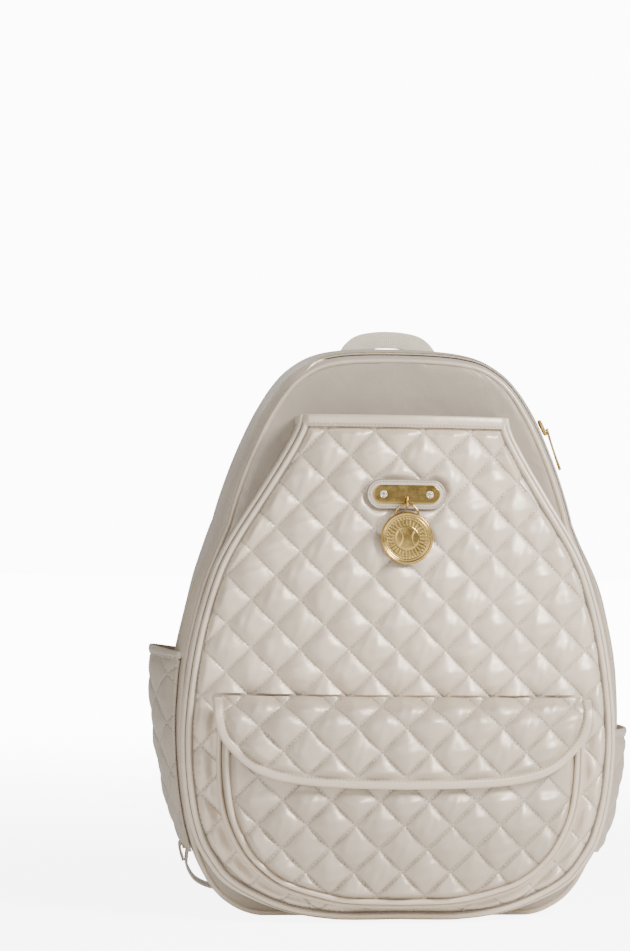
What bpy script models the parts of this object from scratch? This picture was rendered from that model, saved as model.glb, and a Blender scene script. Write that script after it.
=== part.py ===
"""Racket backpack: quilted racket pocket, small flap pocket, side pockets, straps and charm.

Front faces -Y, the wearer's back is +Y, X is to the right seen from the front, Z is up.
The bag stands on its flat base at Z = 0.
"""
import math

import bpy
import bmesh
import numpy as np

# ---- driving dimensions, metres ------------------------------------------------------
BODY_HEIGHT = 0.4338       # main seam, base to arch top
BODY_BULGE = 0.010         # gusset swells this far outside the seams
Y_MAIN_FRONT = -0.040      # plane of the main front seam
Y_MAIN_REAR = 0.062        # plane of the back seam
SKIN = 0.0024              # leather with lining
PANEL = 0.0030             # quilted panel with wadding
PIPING_R = 0.0022
ZIP_SPLIT_Z = 0.200        # zip ends here on both sides
ZIP_Y0 = -0.0300           # zip chain front edge
ZIP_Y1 = -0.0220           # zip chain rear edge
SIDE_ARC_R = 0.360         # radius of the straight-looking shoulder side
SIDE_ARC_LOW = (0.1335, 0.305)
SIDE_ARC_HIGH = (0.1022, 0.387)
Y_RACKET = -0.0747         # front face of the racket pocket panel at its edge
RACKET_DOME = 0.020
RACKET_TOP = 0.387
MOUTH_BAND = 0.008
Y_SMALL = -0.0965          # front face of the small pocket panel at its edge
SMALL_DOME = 0.016
SMALL_TOP = 0.153
FLAP_W = 0.288
FLAP_TOP = 0.172
FLAP_BOTTOM = 0.1066
FLAP_AXIS = (-0.0975, 0.1705)   # y, z of the flap hinge
FLAP_GAP = 0.0036
PLATE_Z = 0.328
PLATE_SIZE = (0.051, 0.0144)
PATCH_SIZE = (0.0607, 0.023)
RING_R = 0.0090
MEDAL_R = 0.020
MEDAL_Z = 0.295
LEFT_MOUTH_Z = 0.212
LEFT_FLARE = 0.0170
RIGHT_MOUTH_Z = 0.152
RIGHT_FLARE = 0.0070
SLIDER_Z = 0.379
PULL_LEN = 0.034
HANDLE_TOP = 0.462
STRAP_W = 0.056
GAP = 0.0003

MAIN_LOW = [(0.0, 0.0), (0.060, 0.0), (0.103, 0.0), (0.1255, 0.0073), (0.1422, 0.0220),
            (0.1537, 0.0435), (0.1617, 0.0715), (0.1674, 0.1100), (0.1694, 0.1500),
            (0.1676, 0.1850), (0.1657, 0.2000)]
MAIN_MID = [(0.1657, 0.2000), (0.1618, 0.2200), (0.1528, 0.2560), (0.1412, 0.2860),
            SIDE_ARC_LOW]
MAIN_TOP = [SIDE_ARC_HIGH, (0.0967, 0.3962), (0.0897, 0.4065), (0.0797, 0.4175),
            (0.0650, 0.4268), (0.0480, 0.4314), (0.0260, 0.4333), (0.0, BODY_HEIGHT)]
RACKET_HALF = [(0.0, 0.0040), (0.046, 0.0040), (0.080, 0.0090), (0.1055, 0.0182),
               (0.1285, 0.0315), (0.1422, 0.0475), (0.1528, 0.0680), (0.1602, 0.1030),
               (0.1622, 0.1500), (0.1555, 0.2080), (0.1437, 0.2550), (0.1309, 0.2858),
               (0.1045, 0.3285), (0.0872, 0.3570), (0.0775, 0.3760), (0.0750, RACKET_TOP)]
SMALL_HALF = [(0.0, 0.0100), (0.041, 0.0115), (0.069, 0.0173), (0.0945, 0.0265),
              (0.1137, 0.0412), (0.1270, 0.0592), (0.1373, 0.0845), (0.1413, 0.1150),
              (0.1413, SMALL_TOP)]
FLAP_HALF = [(0.1440, 0.1690), (0.1435, 0.1582), (0.1388, 0.1432), (0.1300, 0.1320),
             (0.1188, 0.1220), (0.1045, 0.1148), (0.0810, 0.1098), (0.0460, 0.1074)]


# ---- helpers --------------------------------------------------------------------------
def clear_scene():
    for ob in list(bpy.data.objects):
        bpy.data.objects.remove(ob, do_unlink=True)


def material(name, rgb, rough, metal=0.0):
    mat = bpy.data.materials.new(name)
    mat.use_nodes = True
    node = mat.node_tree.nodes["Principled BSDF"]
    node.inputs["Base Color"].default_value = (rgb[0], rgb[1], rgb[2], 1.0)
    node.inputs["Roughness"].default_value = rough
    node.inputs["Metallic"].default_value = metal
    return mat


def make(name, verts, faces, mat):
    """One closed body from vertices and faces, faces turned outwards."""
    mesh = bpy.data.meshes.new(name)
    mesh.from_pydata([tuple(float(c) for c in v) for v in verts], [], faces)
    ob = bpy.data.objects.new(name, mesh)
    bpy.context.scene.collection.objects.link(ob)
    bm = bmesh.new()
    bm.from_mesh(mesh)
    bmesh.ops.remove_doubles(bm, verts=bm.verts, dist=1e-6)
    bmesh.ops.recalc_face_normals(bm, faces=bm.faces)
    bm.to_mesh(mesh)
    bm.free()
    own = mat.copy()
    own.name = "mat_" + name
    mesh.materials.append(own)
    return ob


def sweep(name, path, axis_a, axis_b, profile, closed, mat):
    """Carry a closed profile of (a, b) pairs along a path."""
    path = np.asarray(path, float)
    axis_a = np.broadcast_to(np.asarray(axis_a, float), path.shape)
    axis_b = np.broadcast_to(np.asarray(axis_b, float), path.shape)
    n = len(path)
    prof = np.asarray(profile, float)
    if prof.ndim == 2:
        prof = np.broadcast_to(prof, (n,) + prof.shape)
    m = prof.shape[1]
    pts = (path[:, None, :] + axis_a[:, None, :] * prof[:, :, 0:1]
           + axis_b[:, None, :] * prof[:, :, 1:2])
    verts = pts.reshape(-1, 3)
    faces = []
    for i in range(n if closed else n - 1):
        k = (i + 1) % n
        for j in range(m):
            q = (j + 1) % m
            faces.append((i * m + j, i * m + q, k * m + q, k * m + j))
    if not closed:
        faces.append(tuple(range(m)))
        faces.append(tuple((n - 1) * m + j for j in range(m)))
    return make(name, verts, faces, mat)


def slab(name, front, back, mat):
    """Closed solid between two grids of points of the same size."""
    front = np.asarray(front, float)
    back = np.asarray(back, float)
    n, m = front.shape[:2]
    verts = np.concatenate([front.reshape(-1, 3), back.reshape(-1, 3)])
    off = n * m
    faces = []
    for i in range(n - 1):
        for j in range(m - 1):
            a, b, c, d = i * m + j, i * m + j + 1, (i + 1) * m + j + 1, (i + 1) * m + j
            faces.append((a, b, c, d))
            faces.append((off + d, off + c, off + b, off + a))
    rim = [j for j in range(m)] + [i * m + m - 1 for i in range(1, n)]
    rim += [(n - 1) * m + j for j in range(m - 2, -1, -1)]
    rim += [i * m for i in range(n - 2, 0, -1)]
    for k, a in enumerate(rim):
        b = rim[(k + 1) % len(rim)]
        faces.append((a, b, off + b, off + a))
    return make(name, verts, faces, mat)


def smooth(points, n):
    """Catmull-Rom curve through the points, n samples spaced evenly by length."""
    p = np.asarray(points, float)
    ext = np.vstack([2 * p[0] - p[1], p, 2 * p[-1] - p[-2]])
    out = []
    for i in range(1, len(ext) - 2):
        p0, p1, p2, p3 = ext[i - 1:i + 3]
        for t in np.linspace(0, 1, 16, endpoint=False):
            out.append(0.5 * (2 * p1 + (p2 - p0) * t + (2 * p0 - 5 * p1 + 4 * p2 - p3) * t ** 2
                              + (3 * p1 - p0 - 3 * p2 + p3) * t ** 3))
    out.append(ext[-2])
    out = np.array(out)
    length = np.concatenate([[0], np.cumsum(np.linalg.norm(np.diff(out, axis=0), axis=1))])
    s = np.linspace(0, length[-1], n)
    return np.stack([np.interp(s, length, out[:, k]) for k in range(out.shape[1])], axis=1)


def side_arc(n):
    """Circle of SIDE_ARC_R through the two shoulder points, bulging outwards."""
    a, b = np.array(SIDE_ARC_LOW), np.array(SIDE_ARC_HIGH)
    mid, half = (a + b) / 2, np.linalg.norm(b - a) / 2
    along = (b - a) / (2 * half)
    inward = np.array([-along[1], along[0]])
    centre = mid + inward * math.sqrt(SIDE_ARC_R ** 2 - half ** 2)
    t0 = math.atan2(a[1] - centre[1], a[0] - centre[0])
    t1 = math.atan2(b[1] - centre[1], b[0] - centre[0])
    t = np.linspace(t0, t1, n)
    pts = centre + SIDE_ARC_R * np.stack([np.cos(t), np.sin(t)], axis=1)
    return pts, centre


def mirror_path(half):
    """Full outline from a half that starts at the bottom centre, running right to left."""
    left = half[::-1].copy()
    left[:, 0] *= -1
    return left, half


def normals2(path, closed):
    """Outward normals of an outline that runs anticlockwise seen from the front."""
    p = np.asarray(path, float)
    if closed:
        d = np.roll(p, -1, axis=0) - np.roll(p, 1, axis=0)
    else:
        d = np.gradient(p, axis=0)
    d /= np.linalg.norm(d, axis=1)[:, None]
    return np.stack([d[:, 1], -d[:, 0]], axis=1)


def lift(path2, y=0.0):
    p = np.asarray(path2, float)
    return np.stack([p[:, 0], np.full(len(p), y), p[:, 1]], axis=1)


def circle(r, n):
    t = np.arange(n) * 2 * math.pi / n
    return np.stack([r * np.cos(t), r * np.sin(t)], axis=1)


def step(t):
    t = np.clip(t, 0, 1)
    return t * t * (3 - 2 * t)


def outline_tube(name, path2, closed, offset, y, r, sides, mat):
    nrm = lift(normals2(path2, closed))
    prof = circle(r, sides) + np.array([offset, 0.0])
    base = lift(path2)
    base[:, 1] = y
    return sweep(name, base, nrm, (0, 1, 0), prof, closed, mat)


def disc(name, centre, r, y_back, y_front, n, mat, rx=None):
    """Flat round plate facing front; rx stretches it into a stadium of half length rx."""
    t = np.arange(n) * 2 * math.pi / n
    x = r * np.cos(t)
    z = r * np.sin(t)
    if rx is not None:
        x = x + np.where(np.cos(t) >= 0, 1, -1) * (rx - r)
    ring = np.stack([centre[0] + x, np.zeros(n), centre[1] + z], axis=1)
    verts = np.concatenate([ring + [0, y_back, 0], ring + [0, y_front, 0]])
    faces = [tuple(range(n)), tuple(range(2 * n - 1, n - 1, -1))]
    for i in range(n):
        k = (i + 1) % n
        faces.append((i, k, n + k, n + i))
    return make(name, verts, faces, mat)


def oriented_box(name, centre, axes, half, chamfer, mat):
    """Box on three unit axes with its long edges chamfered."""
    c = chamfer
    h0, h1, h2 = half
    prof = [(h0 - c, -h1), (h0, -h1 + c), (h0, h1 - c), (h0 - c, h1),
            (-h0 + c, h1), (-h0, h1 - c), (-h0, -h1 + c), (-h0 + c, -h1)]
    centre = np.asarray(centre, float)
    a, b, l = [np.asarray(v, float) for v in axes]
    path = np.stack([centre - l * h2, centre + l * h2])
    return sweep(name, path, a, b, prof, False, mat)


def ribbon(name, pts, n, width, thick, side0, side1, mat, turn=(0.0, 1.0)):
    """Flat strap along a curve; its width direction turns from side0 to side1."""
    path = smooth(pts, n)
    u = np.linspace(0, 1, n)
    tan = np.gradient(path, axis=0)
    tan /= np.linalg.norm(tan, axis=1)[:, None]
    mix = step((u - turn[0]) / (turn[1] - turn[0]))[:, None]
    side = np.asarray(side0, float) * (1 - mix) + np.asarray(side1, float) * mix
    side -= tan * np.sum(side * tan, axis=1)[:, None]
    side /= np.linalg.norm(side, axis=1)[:, None]
    face = np.cross(tan, side)
    w = np.interp(u, np.linspace(0, 1, len(width)), width) / 2
    t = np.interp(u, np.linspace(0, 1, len(thick)), thick) / 2
    prof = []
    for k in range(n):
        c = t[k] * 0.7
        prof.append([(w[k] - c, -t[k]), (w[k], 0.0), (w[k] - c, t[k]),
                     (-w[k] + c, t[k]), (-w[k], 0.0), (-w[k] + c, -t[k])])
    return sweep(name, path, side, face, prof, False, mat)


# ---- surfaces the pieces follow -----------------------------------------------------------
ARC_PTS, ARC_CENTRE = side_arc(9)
MAIN_UP_HALF = np.vstack([smooth(MAIN_MID, 7)[:-1], ARC_PTS[:-1], smooth(MAIN_TOP, 12)])
MAIN_LOW_HALF = smooth(MAIN_LOW, 19)
MAIN_LOW_HALF[:, 1] = np.maximum(MAIN_LOW_HALF[:, 1], 0.0)
RACKET_DENSE = smooth(RACKET_HALF, 400)
SMALL_DENSE = smooth(SMALL_HALF, 300)
MAIN_DENSE = np.vstack([smooth(MAIN_LOW, 300), MAIN_UP_HALF])


def racket_half_width(z):
    return np.interp(z, RACKET_DENSE[20:, 1], RACKET_DENSE[20:, 0])


def racket_y(x, z):
    """Front face of the domed racket pocket panel."""
    s = np.clip(np.abs(x) / np.maximum(racket_half_width(z), 1e-4), 0, 1)
    low = step((z - 0.004) / 0.110)
    high = 1.0 - 0.45 * step((z - 0.215) / (RACKET_TOP - 0.215))
    return Y_RACKET - RACKET_DOME * (1 - s ** 2) * low * high


def small_y(x, z):
    """Front face of the domed small pocket panel."""
    half = np.interp(z, SMALL_DENSE[30:, 1], SMALL_DENSE[30:, 0]) - 0.0105
    s = np.clip(np.abs(x) / half, 0, 1)
    return Y_SMALL - SMALL_DOME * (1 - s ** 2) * step((z - 0.016) / 0.075)


def bulge(z, y):
    """How far the main gusset stands outside its seam line."""
    mid = (Y_MAIN_FRONT + Y_MAIN_REAR) / 2
    half = (Y_MAIN_REAR - Y_MAIN_FRONT) / 2
    across = np.clip(1 - ((y - mid) / half) ** 2, 0, 1)
    return BODY_BULGE * across * step(z / 0.090)


# ---- build ----------------------------------------------------------------------------------
clear_scene()
leather = material("leather", (0.63, 0.57, 0.51), 0.42)
quilt = material("quilted_leather", (0.66, 0.60, 0.54), 0.40)
trim = material("leather_trim", (0.58, 0.50, 0.44), 0.42)
lining = material("lining", (0.62, 0.50, 0.33), 0.85)
webbing = material("webbing", (0.80, 0.76, 0.66), 0.90)
gold = material("pale_gold", (0.86, 0.70, 0.42), 0.25, 1.0)


def gusset_strip(name, path2, closed, y0, y1, rows, mat):
    """Leather strip of the main side wall between two Y planes."""
    nrm = lift(normals2(path2, closed))
    ys = np.linspace(y0, y1, rows)
    prof = []
    for x, z in path2:
        outer = [(float(bulge(z, y)), y) for y in ys]
        inner = [(o - SKIN, y) for o, y in reversed(outer)]
        prof.append(outer + inner)
    return sweep(name, lift(path2), nrm, (0, 1, 0), prof, closed, mat)


# main compartment
low_left, low_right = mirror_path(MAIN_LOW_HALF)
lower_path = np.vstack([low_left[:-1], low_right])
lower_path[0, 1] -= GAP
lower_path[-1, 1] -= GAP
up_left, up_right = mirror_path(MAIN_UP_HALF)
upper_path = np.vstack([up_right, up_left[1:]])
whole_path = np.vstack([low_right[:-1], up_right[:-1], up_left[:-1], low_left[:-1]])
gusset_strip("main_gusset_lower", lower_path, False, -0.0375, 0.0595, 8, leather)
gusset_strip("zip_band_front", upper_path, False, -0.0375, ZIP_Y0 - 0.0004, 2, leather)
gusset_strip("zip_band_rear", upper_path, False, ZIP_Y1 + 0.0004, 0.0595, 6, leather)
chain_prof = []
for px, pz in upper_path:
    o = float(bulge(pz, ZIP_Y0 + 0.004))
    chain_prof.append([(o + 0.0008, -0.0038), (o + 0.0008, 0.0038), (o - 0.0012, 0.0038),
                       (o - 0.0012, -0.0038)])
sweep("zip_chain", lift(upper_path, (ZIP_Y0 + ZIP_Y1) / 2), lift(normals2(upper_path, False)),
      (0, 1, 0), chain_prof, False, gold)
outline_tube("main_piping", whole_path, True, -0.0010 - 0.0012, -0.0405, PIPING_R, 8, trim)
outline_tube("back_piping", whole_path, True, -0.0010 - 0.0012, 0.0625, PIPING_R, 8, trim)


def inset_rows(inset, z_low, rows):
    """Half widths and heights of rows inside the main seam line."""
    nrm = normals2(MAIN_DENSE, False)
    pts = MAIN_DENSE - nrm * inset
    keep = (pts[:, 1] >= z_low) & (pts[:, 0] > 0.024)
    pts = pts[keep]
    length = np.concatenate([[0], np.cumsum(np.linalg.norm(np.diff(pts, axis=0), axis=1))])
    s = np.linspace(0, length[-1], rows)
    return np.interp(s, length, pts[:, 0]), np.interp(s, length, pts[:, 1])


def flat_panel(name, inset, y_front, y_back, dome, cols, mat):
    """Panel filling the main outline; dome pushes the rear face out like a cushion."""
    hw, z = inset_rows(inset, inset + 0.0001, 22)
    s = np.linspace(-1, 1, cols)
    xx = hw[:, None] * s[None, :]
    zz = np.repeat(z[:, None], cols, axis=1)
    rise = (1 - s[None, :] ** 2) * (step(z / 0.06) * step((0.431 - z) / 0.06))[:, None]
    front = np.stack([xx, np.full_like(xx, y_front), zz], axis=2)
    back = np.stack([xx, y_back + dome * rise, zz], axis=2)
    return slab(name, front, back, mat)


flat_panel("main_front_panel", 0.0055, -0.0420, -0.0392, 0.0, 5, leather)
flat_panel("back_panel", 0.0055, 0.0612, 0.0640, 0.0060, 9, leather)
oriented_box("base_board", (0, 0.011, 0.0046), ((1, 0, 0), (0, 0, 1), (0, 1, 0)),
             (0.095, 0.0016, 0.046), 0.0004, lining)

# racket pocket
racket_half = smooth(RACKET_HALF, 24)
rk_left, rk_right = mirror_path(racket_half)
racket_path = np.vstack([rk_left[:-1], rk_right])
racket_prof = []
for px, pz in racket_path:
    rear = 0.0036 + 0.0020 * float(step(pz / 0.050))
    front = 0.0004
    rails = [(rear, -0.0434), ((rear + front) / 2 + 0.0004, -0.057), (front, -0.0706)]
    racket_prof.append(rails + [(a - SKIN, b) for a, b in reversed(rails)])
sweep("racket_pocket_gusset", lift(racket_path), lift(normals2(racket_path, False)),
      (0, 1, 0), racket_prof, False, leather)
outline_tube("racket_pocket_piping", racket_path, False, -0.0003, -0.0732, PIPING_R, 8, trim)

inner = RACKET_DENSE - normals2(RACKET_DENSE, False) * 0.0046
keep = (inner[:, 0] > 0.044) & (inner[:, 1] < RACKET_TOP - MOUTH_BAND)
inner = inner[keep]
pick = np.linspace(0, len(inner) - 1, 22).astype(int)
hw, zr = inner[pick, 0], inner[pick, 1]
zr[-1] = RACKET_TOP - MOUTH_BAND
cols = np.linspace(-1, 1, 15)
xx = hw[:, None] * cols[None, :]
zz = np.repeat(zr[:, None], len(cols), axis=1)
yy = racket_y(xx, zz)
slab("racket_pocket_panel", np.stack([xx, yy, zz], axis=2),
     np.stack([xx, yy + PANEL, zz], axis=2), quilt)

mx = np.linspace(-0.0705, 0.0705, 15)
my = racket_y(mx, RACKET_TOP - 0.004) + PANEL / 2
m_path = np.stack([mx, my, np.full(15, RACKET_TOP - MOUTH_BAND / 2 + GAP)], axis=1)
m_prof = [(-0.0038, -0.0021), (-0.0038, 0.0021), (0.0030, 0.0021), (0.0038, 0.0012),
          (0.0038, -0.0012), (0.0030, -0.0021)]
sweep("mouth_binding", m_path, (0, 0, 1), (0, 1, 0), m_prof, False, trim)

# small pocket
small_half = smooth(SMALL_HALF, 19)
sm_left, sm_right = mirror_path(small_half)
small_path = np.vstack([sm_left[:-1], sm_right])
small_nrm = normals2(small_path, False)
prof = []
for (px, pz), (nx, nz) in zip(small_path, small_nrm):
    rails = []
    for o_rear, o_front in ((-0.0046, -0.0072), (-0.0066, -0.0092)):
        y_rear = float(racket_y(px + nx * o_rear, pz + nz * o_rear)) - 0.0007
        rails.append(((o_rear, y_rear), (o_front, -0.0926)))
    prof.append([rails[0][0], rails[0][1], rails[1][1], rails[1][0]])
sweep("small_pocket_gusset", lift(small_path), lift(small_nrm), (0, 1, 0), prof, False, leather)
tube = circle(0.0019, 8)
prof = []
for (px, pz), (nx, nz) in zip(small_path, small_nrm):
    y_skin = min(float(racket_y(px + nx * o, pz + nz * o)) for o in (-0.0045, -0.002, 0.0))
    prof.append(tube + np.array([-0.0020, y_skin - 0.0024]))
sweep("small_pocket_piping_outer", lift(small_path), lift(small_nrm), (0, 1, 0), prof, False,
      trim)
sweep("small_pocket_piping_inner", lift(small_path), lift(small_nrm), (0, 1, 0),
      tube + np.array([-0.0079, -0.0950]), False, trim)
inner = SMALL_DENSE - normals2(SMALL_DENSE, False) * 0.0105
inner = inner[(inner[:, 0] > 0.036) & (inner[:, 1] < SMALL_TOP - 0.009)]
pick = np.linspace(0, len(inner) - 1, 13).astype(int)
hw, zr = inner[pick, 0], inner[pick, 1]
cols = np.linspace(-1, 1, 13)
xx = hw[:, None] * cols[None, :]
zz = np.repeat(zr[:, None], len(cols), axis=1)
yy = small_y(xx, zz)
slab("small_pocket_panel", np.stack([xx, yy, zz], axis=2),
     np.stack([xx, yy + PANEL, zz], axis=2), quilt)
hx = np.linspace(-0.1262, 0.1262, 13)
hy = small_y(hx, SMALL_TOP - 0.009) + PANEL / 2
h_path = np.stack([hx, hy, np.full(13, SMALL_TOP - 0.0044)], axis=1)
h_prof = [(-0.0042, -0.0016), (-0.0042, 0.0016), (0.0042, 0.0016), (0.0042, -0.0016)]
sweep("small_pocket_hem", h_path, (0, 0, 1), (0, 1, 0), h_prof, False, trim)

# flap, lying over the small pocket mouth
flap_half = smooth(FLAP_HALF, 12)
flap_hw = np.concatenate([[FLAP_W / 2, FLAP_W / 2], flap_half[:, 0]]) - 0.0070
flap_z = np.concatenate([[FLAP_TOP - 0.0012, FLAP_TOP - 0.0020], flap_half[:, 1]])
flap_z[2:] = np.interp(flap_half[:, 1], [FLAP_BOTTOM, 0.169], [FLAP_BOTTOM + 0.0072, 0.1685])


def flap_back(x, z):
    """Rear face of the flap: hinge row at the top, then over the pocket front."""
    over = small_y(x, np.minimum(z, 0.145)) - FLAP_GAP
    top = FLAP_AXIS[0] + 0.0016 + 0.0078 * (np.abs(x) / (FLAP_W / 2)) ** 2
    t = np.clip((FLAP_TOP - 0.0012 - z) / 0.0145, 0, 1)
    return top + (over - top) * np.sqrt(1 - (1 - t) ** 2)


def flap_grid(hw, z, push):
    s = np.linspace(-1, 1, 15)
    xx = hw[:, None] * s[None, :]
    zz = np.repeat(z[:, None], 15, axis=1)
    return np.stack([xx, flap_back(xx, zz) - push, zz], axis=2)


slab("flap_panel", flap_grid(flap_hw, flap_z, 0.0028), flap_grid(flap_hw, flap_z, 0.0), quilt)
edge = np.concatenate([[[FLAP_W / 2, FLAP_TOP - 0.0035]], flap_half])
edge[:, 0] -= 0.0030
edge[:, 1] = np.interp(edge[:, 1], [FLAP_BOTTOM, 0.169], [FLAP_BOTTOM + 0.0035, 0.1685])
edge = np.vstack([edge, [[0.0, edge[-1, 1] - 0.0006]]])
edge = smooth(edge, 22)
left = edge.copy()
left[:, 0] *= -1
flap_path = np.vstack([left[:-1], edge[::-1]])
nrm = normals2(flap_path, False)
base = lift(flap_path)
base[:, 1] = flap_back(flap_path[:, 0], flap_path[:, 1]) - 0.0014
side = lift(nrm)
b_prof = [(-0.0030, -0.0019), (-0.0030, 0.0019), (0.0024, 0.0019), (0.0034, 0.0008),
          (0.0034, -0.0008), (0.0024, -0.0019)]
sweep("flap_binding", base, side, (0, 1, 0), b_prof, False, trim)
y_s = float(small_y(0, 0.1205))
disc("snap_socket", (0, 0.1205), 0.0050, y_s - 0.0003, y_s - 0.0013, 16, gold)
y_f = float(flap_back(0, 0.1205))
disc("snap_stud", (0, 0.1205), 0.0050, y_f + 0.0013, y_f + 0.0003, 16, gold)

# charm plate, ring and medallion
y_p = float(racket_y(0, PLATE_Z - 0.012)) - 0.0005
disc("charm_patch", (0, PLATE_Z), PATCH_SIZE[1] / 2, y_p, y_p - 0.0016, 24, trim,
     PATCH_SIZE[0] / 2)
disc("charm_plate", (0, PLATE_Z), PLATE_SIZE[1] / 2, y_p - 0.0019, y_p - 0.0031, 24, gold,
     PLATE_SIZE[0] / 2)
y_pl = y_p - 0.0031
for label, sx in (("left", -1), ("right", 1)):
    disc("rivet_" + label, (sx * 0.0176, PLATE_Z), 0.0029, y_pl - 0.0002, y_pl - 0.0018, 14,
         gold)
y_ring = y_pl - 0.0028
z_pin = 0.3205
staple = smooth([(0, y_pl - 0.0003, z_pin + 0.0055), (0, y_ring - 0.0016, z_pin + 0.0052),
                 (0, y_ring - 0.0026, z_pin + 0.0018), (0, y_ring - 0.0016, z_pin - 0.0018),
                 (0, y_pl - 0.0003, z_pin - 0.0022)], 12)
tan = np.gradient(staple, axis=0)
tan /= np.linalg.norm(tan, axis=1)[:, None]
sweep("charm_staple", staple, (1, 0, 0), np.cross(tan, (1, 0, 0)), circle(0.0008, 6), False, gold)
t = np.arange(24) * 2 * math.pi / 24
ring_dir = np.stack([np.cos(t), np.zeros(24), np.sin(t)], axis=1)
ring_c = np.array([0, y_ring, z_pin - RING_R])
sweep("charm_ring", ring_c + RING_R * ring_dir, ring_dir, (0, 1, 0), circle(0.0008, 6), True,
      gold)
z_lug = z_pin - 2 * RING_R
t = np.arange(14) * 2 * math.pi / 14
lug_dir = np.stack([np.zeros(14), np.cos(t), np.sin(t)], axis=1)
sweep("charm_lug", np.array([0, y_ring, z_lug]) + 0.0020 * lug_dir, lug_dir, (1, 0, 0),
      circle(0.0006, 6), True, gold)
y_m = y_ring - 0.0026 - 0.0003
disc("charm_medallion", (0, MEDAL_Z), MEDAL_R, y_m, y_m - 0.0024, 32, gold)


# side pockets on the gusset
def wall_point(sx, z, y, off):
    """Point standing off the gusset surface on one side of the bag."""
    nrm_all = normals2(MAIN_DENSE, False)
    x0 = np.interp(z, MAIN_DENSE[60:, 1], MAIN_DENSE[60:, 0])
    nx = np.interp(z, MAIN_DENSE[60:, 1], nrm_all[60:, 0])
    nz = np.interp(z, MAIN_DENSE[60:, 1], nrm_all[60:, 1])
    o = bulge(z, y) + off
    return np.stack([sx * (x0 + nx * o), y + 0 * x0, z + nz * o], axis=-1)


def side_pocket(label, sx, z0, z1, flare0, flare1, thick, mat, cols=11, rows=12):
    v = np.linspace(-1, 1, cols)
    z = np.linspace(z0, z1, rows)
    vv, zz = np.meshgrid(v, z)
    yy = 0.0065 + vv * 0.0430
    share = ((zz - 0.050) / (flare1[1] - 0.050)).clip(0, 1)
    swell = flare0 + (flare1[0] - flare0) * share ** 1.4
    off = 0.0009 + swell * (1 - np.abs(vv) ** 2.6)
    out = wall_point(sx, zz, yy, off + thick)
    inn = wall_point(sx, zz, yy, off)
    return slab(label, out, inn, mat)


HEM = 0.011
side_pocket("side_pocket_left", -1, 0.050, LEFT_MOUTH_Z - HEM, 0.0010, (LEFT_FLARE, LEFT_MOUTH_Z),
            0.0028, quilt)
side_pocket("side_pocket_left_hem", -1, LEFT_MOUTH_Z - HEM + GAP, LEFT_MOUTH_Z, 0.0010,
            (LEFT_FLARE, LEFT_MOUTH_Z), 0.0034, trim, 11, 3)
side_pocket("side_pocket_right", 1, 0.050, RIGHT_MOUTH_Z - HEM, 0.0010, (RIGHT_FLARE, RIGHT_MOUTH_Z),
            0.0024, quilt)
side_pocket("side_pocket_right_hem", 1, RIGHT_MOUTH_Z - HEM + GAP, RIGHT_MOUTH_Z, 0.0010,
            (RIGHT_FLARE, RIGHT_MOUTH_Z), 0.0030, trim, 11, 3)

# zip slider and pull on the right shoulder
ang = math.asin((SLIDER_Z - ARC_CENTRE[1]) / SIDE_ARC_R)
out2 = np.array([math.cos(ang), math.sin(ang)])
u_out = np.array([out2[0], 0, out2[1]])
t_down = np.array([out2[1], 0, -out2[0]])
y_zip = (ZIP_Y0 + ZIP_Y1) / 2
o_chain = float(bulge(SLIDER_Z, ZIP_Y0 + 0.004)) + 0.0008
seam = np.array([ARC_CENTRE[0], 0, ARC_CENTRE[1]]) + u_out * SIDE_ARC_R
s_mid = seam + u_out * (o_chain + 0.0012 + 0.0016) + np.array([0, y_zip, 0])
oriented_box("zip_slider", s_mid, ((0, 1, 0), u_out, t_down), (0.0042, 0.0016, 0.0068), 0.0008,
             gold)
p_mid = s_mid + u_out * 0.0032 + t_down * (0.0020 + PULL_LEN / 2)
oriented_box("zip_pull", p_mid, ((0, 1, 0), u_out, t_down), (0.0026, 0.0008, PULL_LEN / 2),
             0.0004, gold)

# grab handle: webbing loop standing behind the arch
h_half = [(-0.0330, 0.4362), (-0.0320, 0.4440), (-0.0240, 0.4515), (-0.0120, 0.4545),
          (0.0, 0.4552)]
h_all = smooth(h_half + [(-x, z) for x, z in h_half[-2::-1]], 21)
h_tan = np.gradient(h_all, axis=0)
h_tan /= np.linalg.norm(h_tan, axis=1)[:, None]
h_nrm = np.stack([-h_tan[:, 1], np.zeros(21), h_tan[:, 0]], axis=1)
reach = (HANDLE_TOP - 0.4552)
h_prof = [(-reach, -0.0012), (-reach, 0.0012), (reach, 0.0012), (reach, -0.0012)]
sweep("grab_handle", lift(h_all, 0.0625), h_nrm, (0, 1, 0), h_prof, False, webbing)

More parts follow.
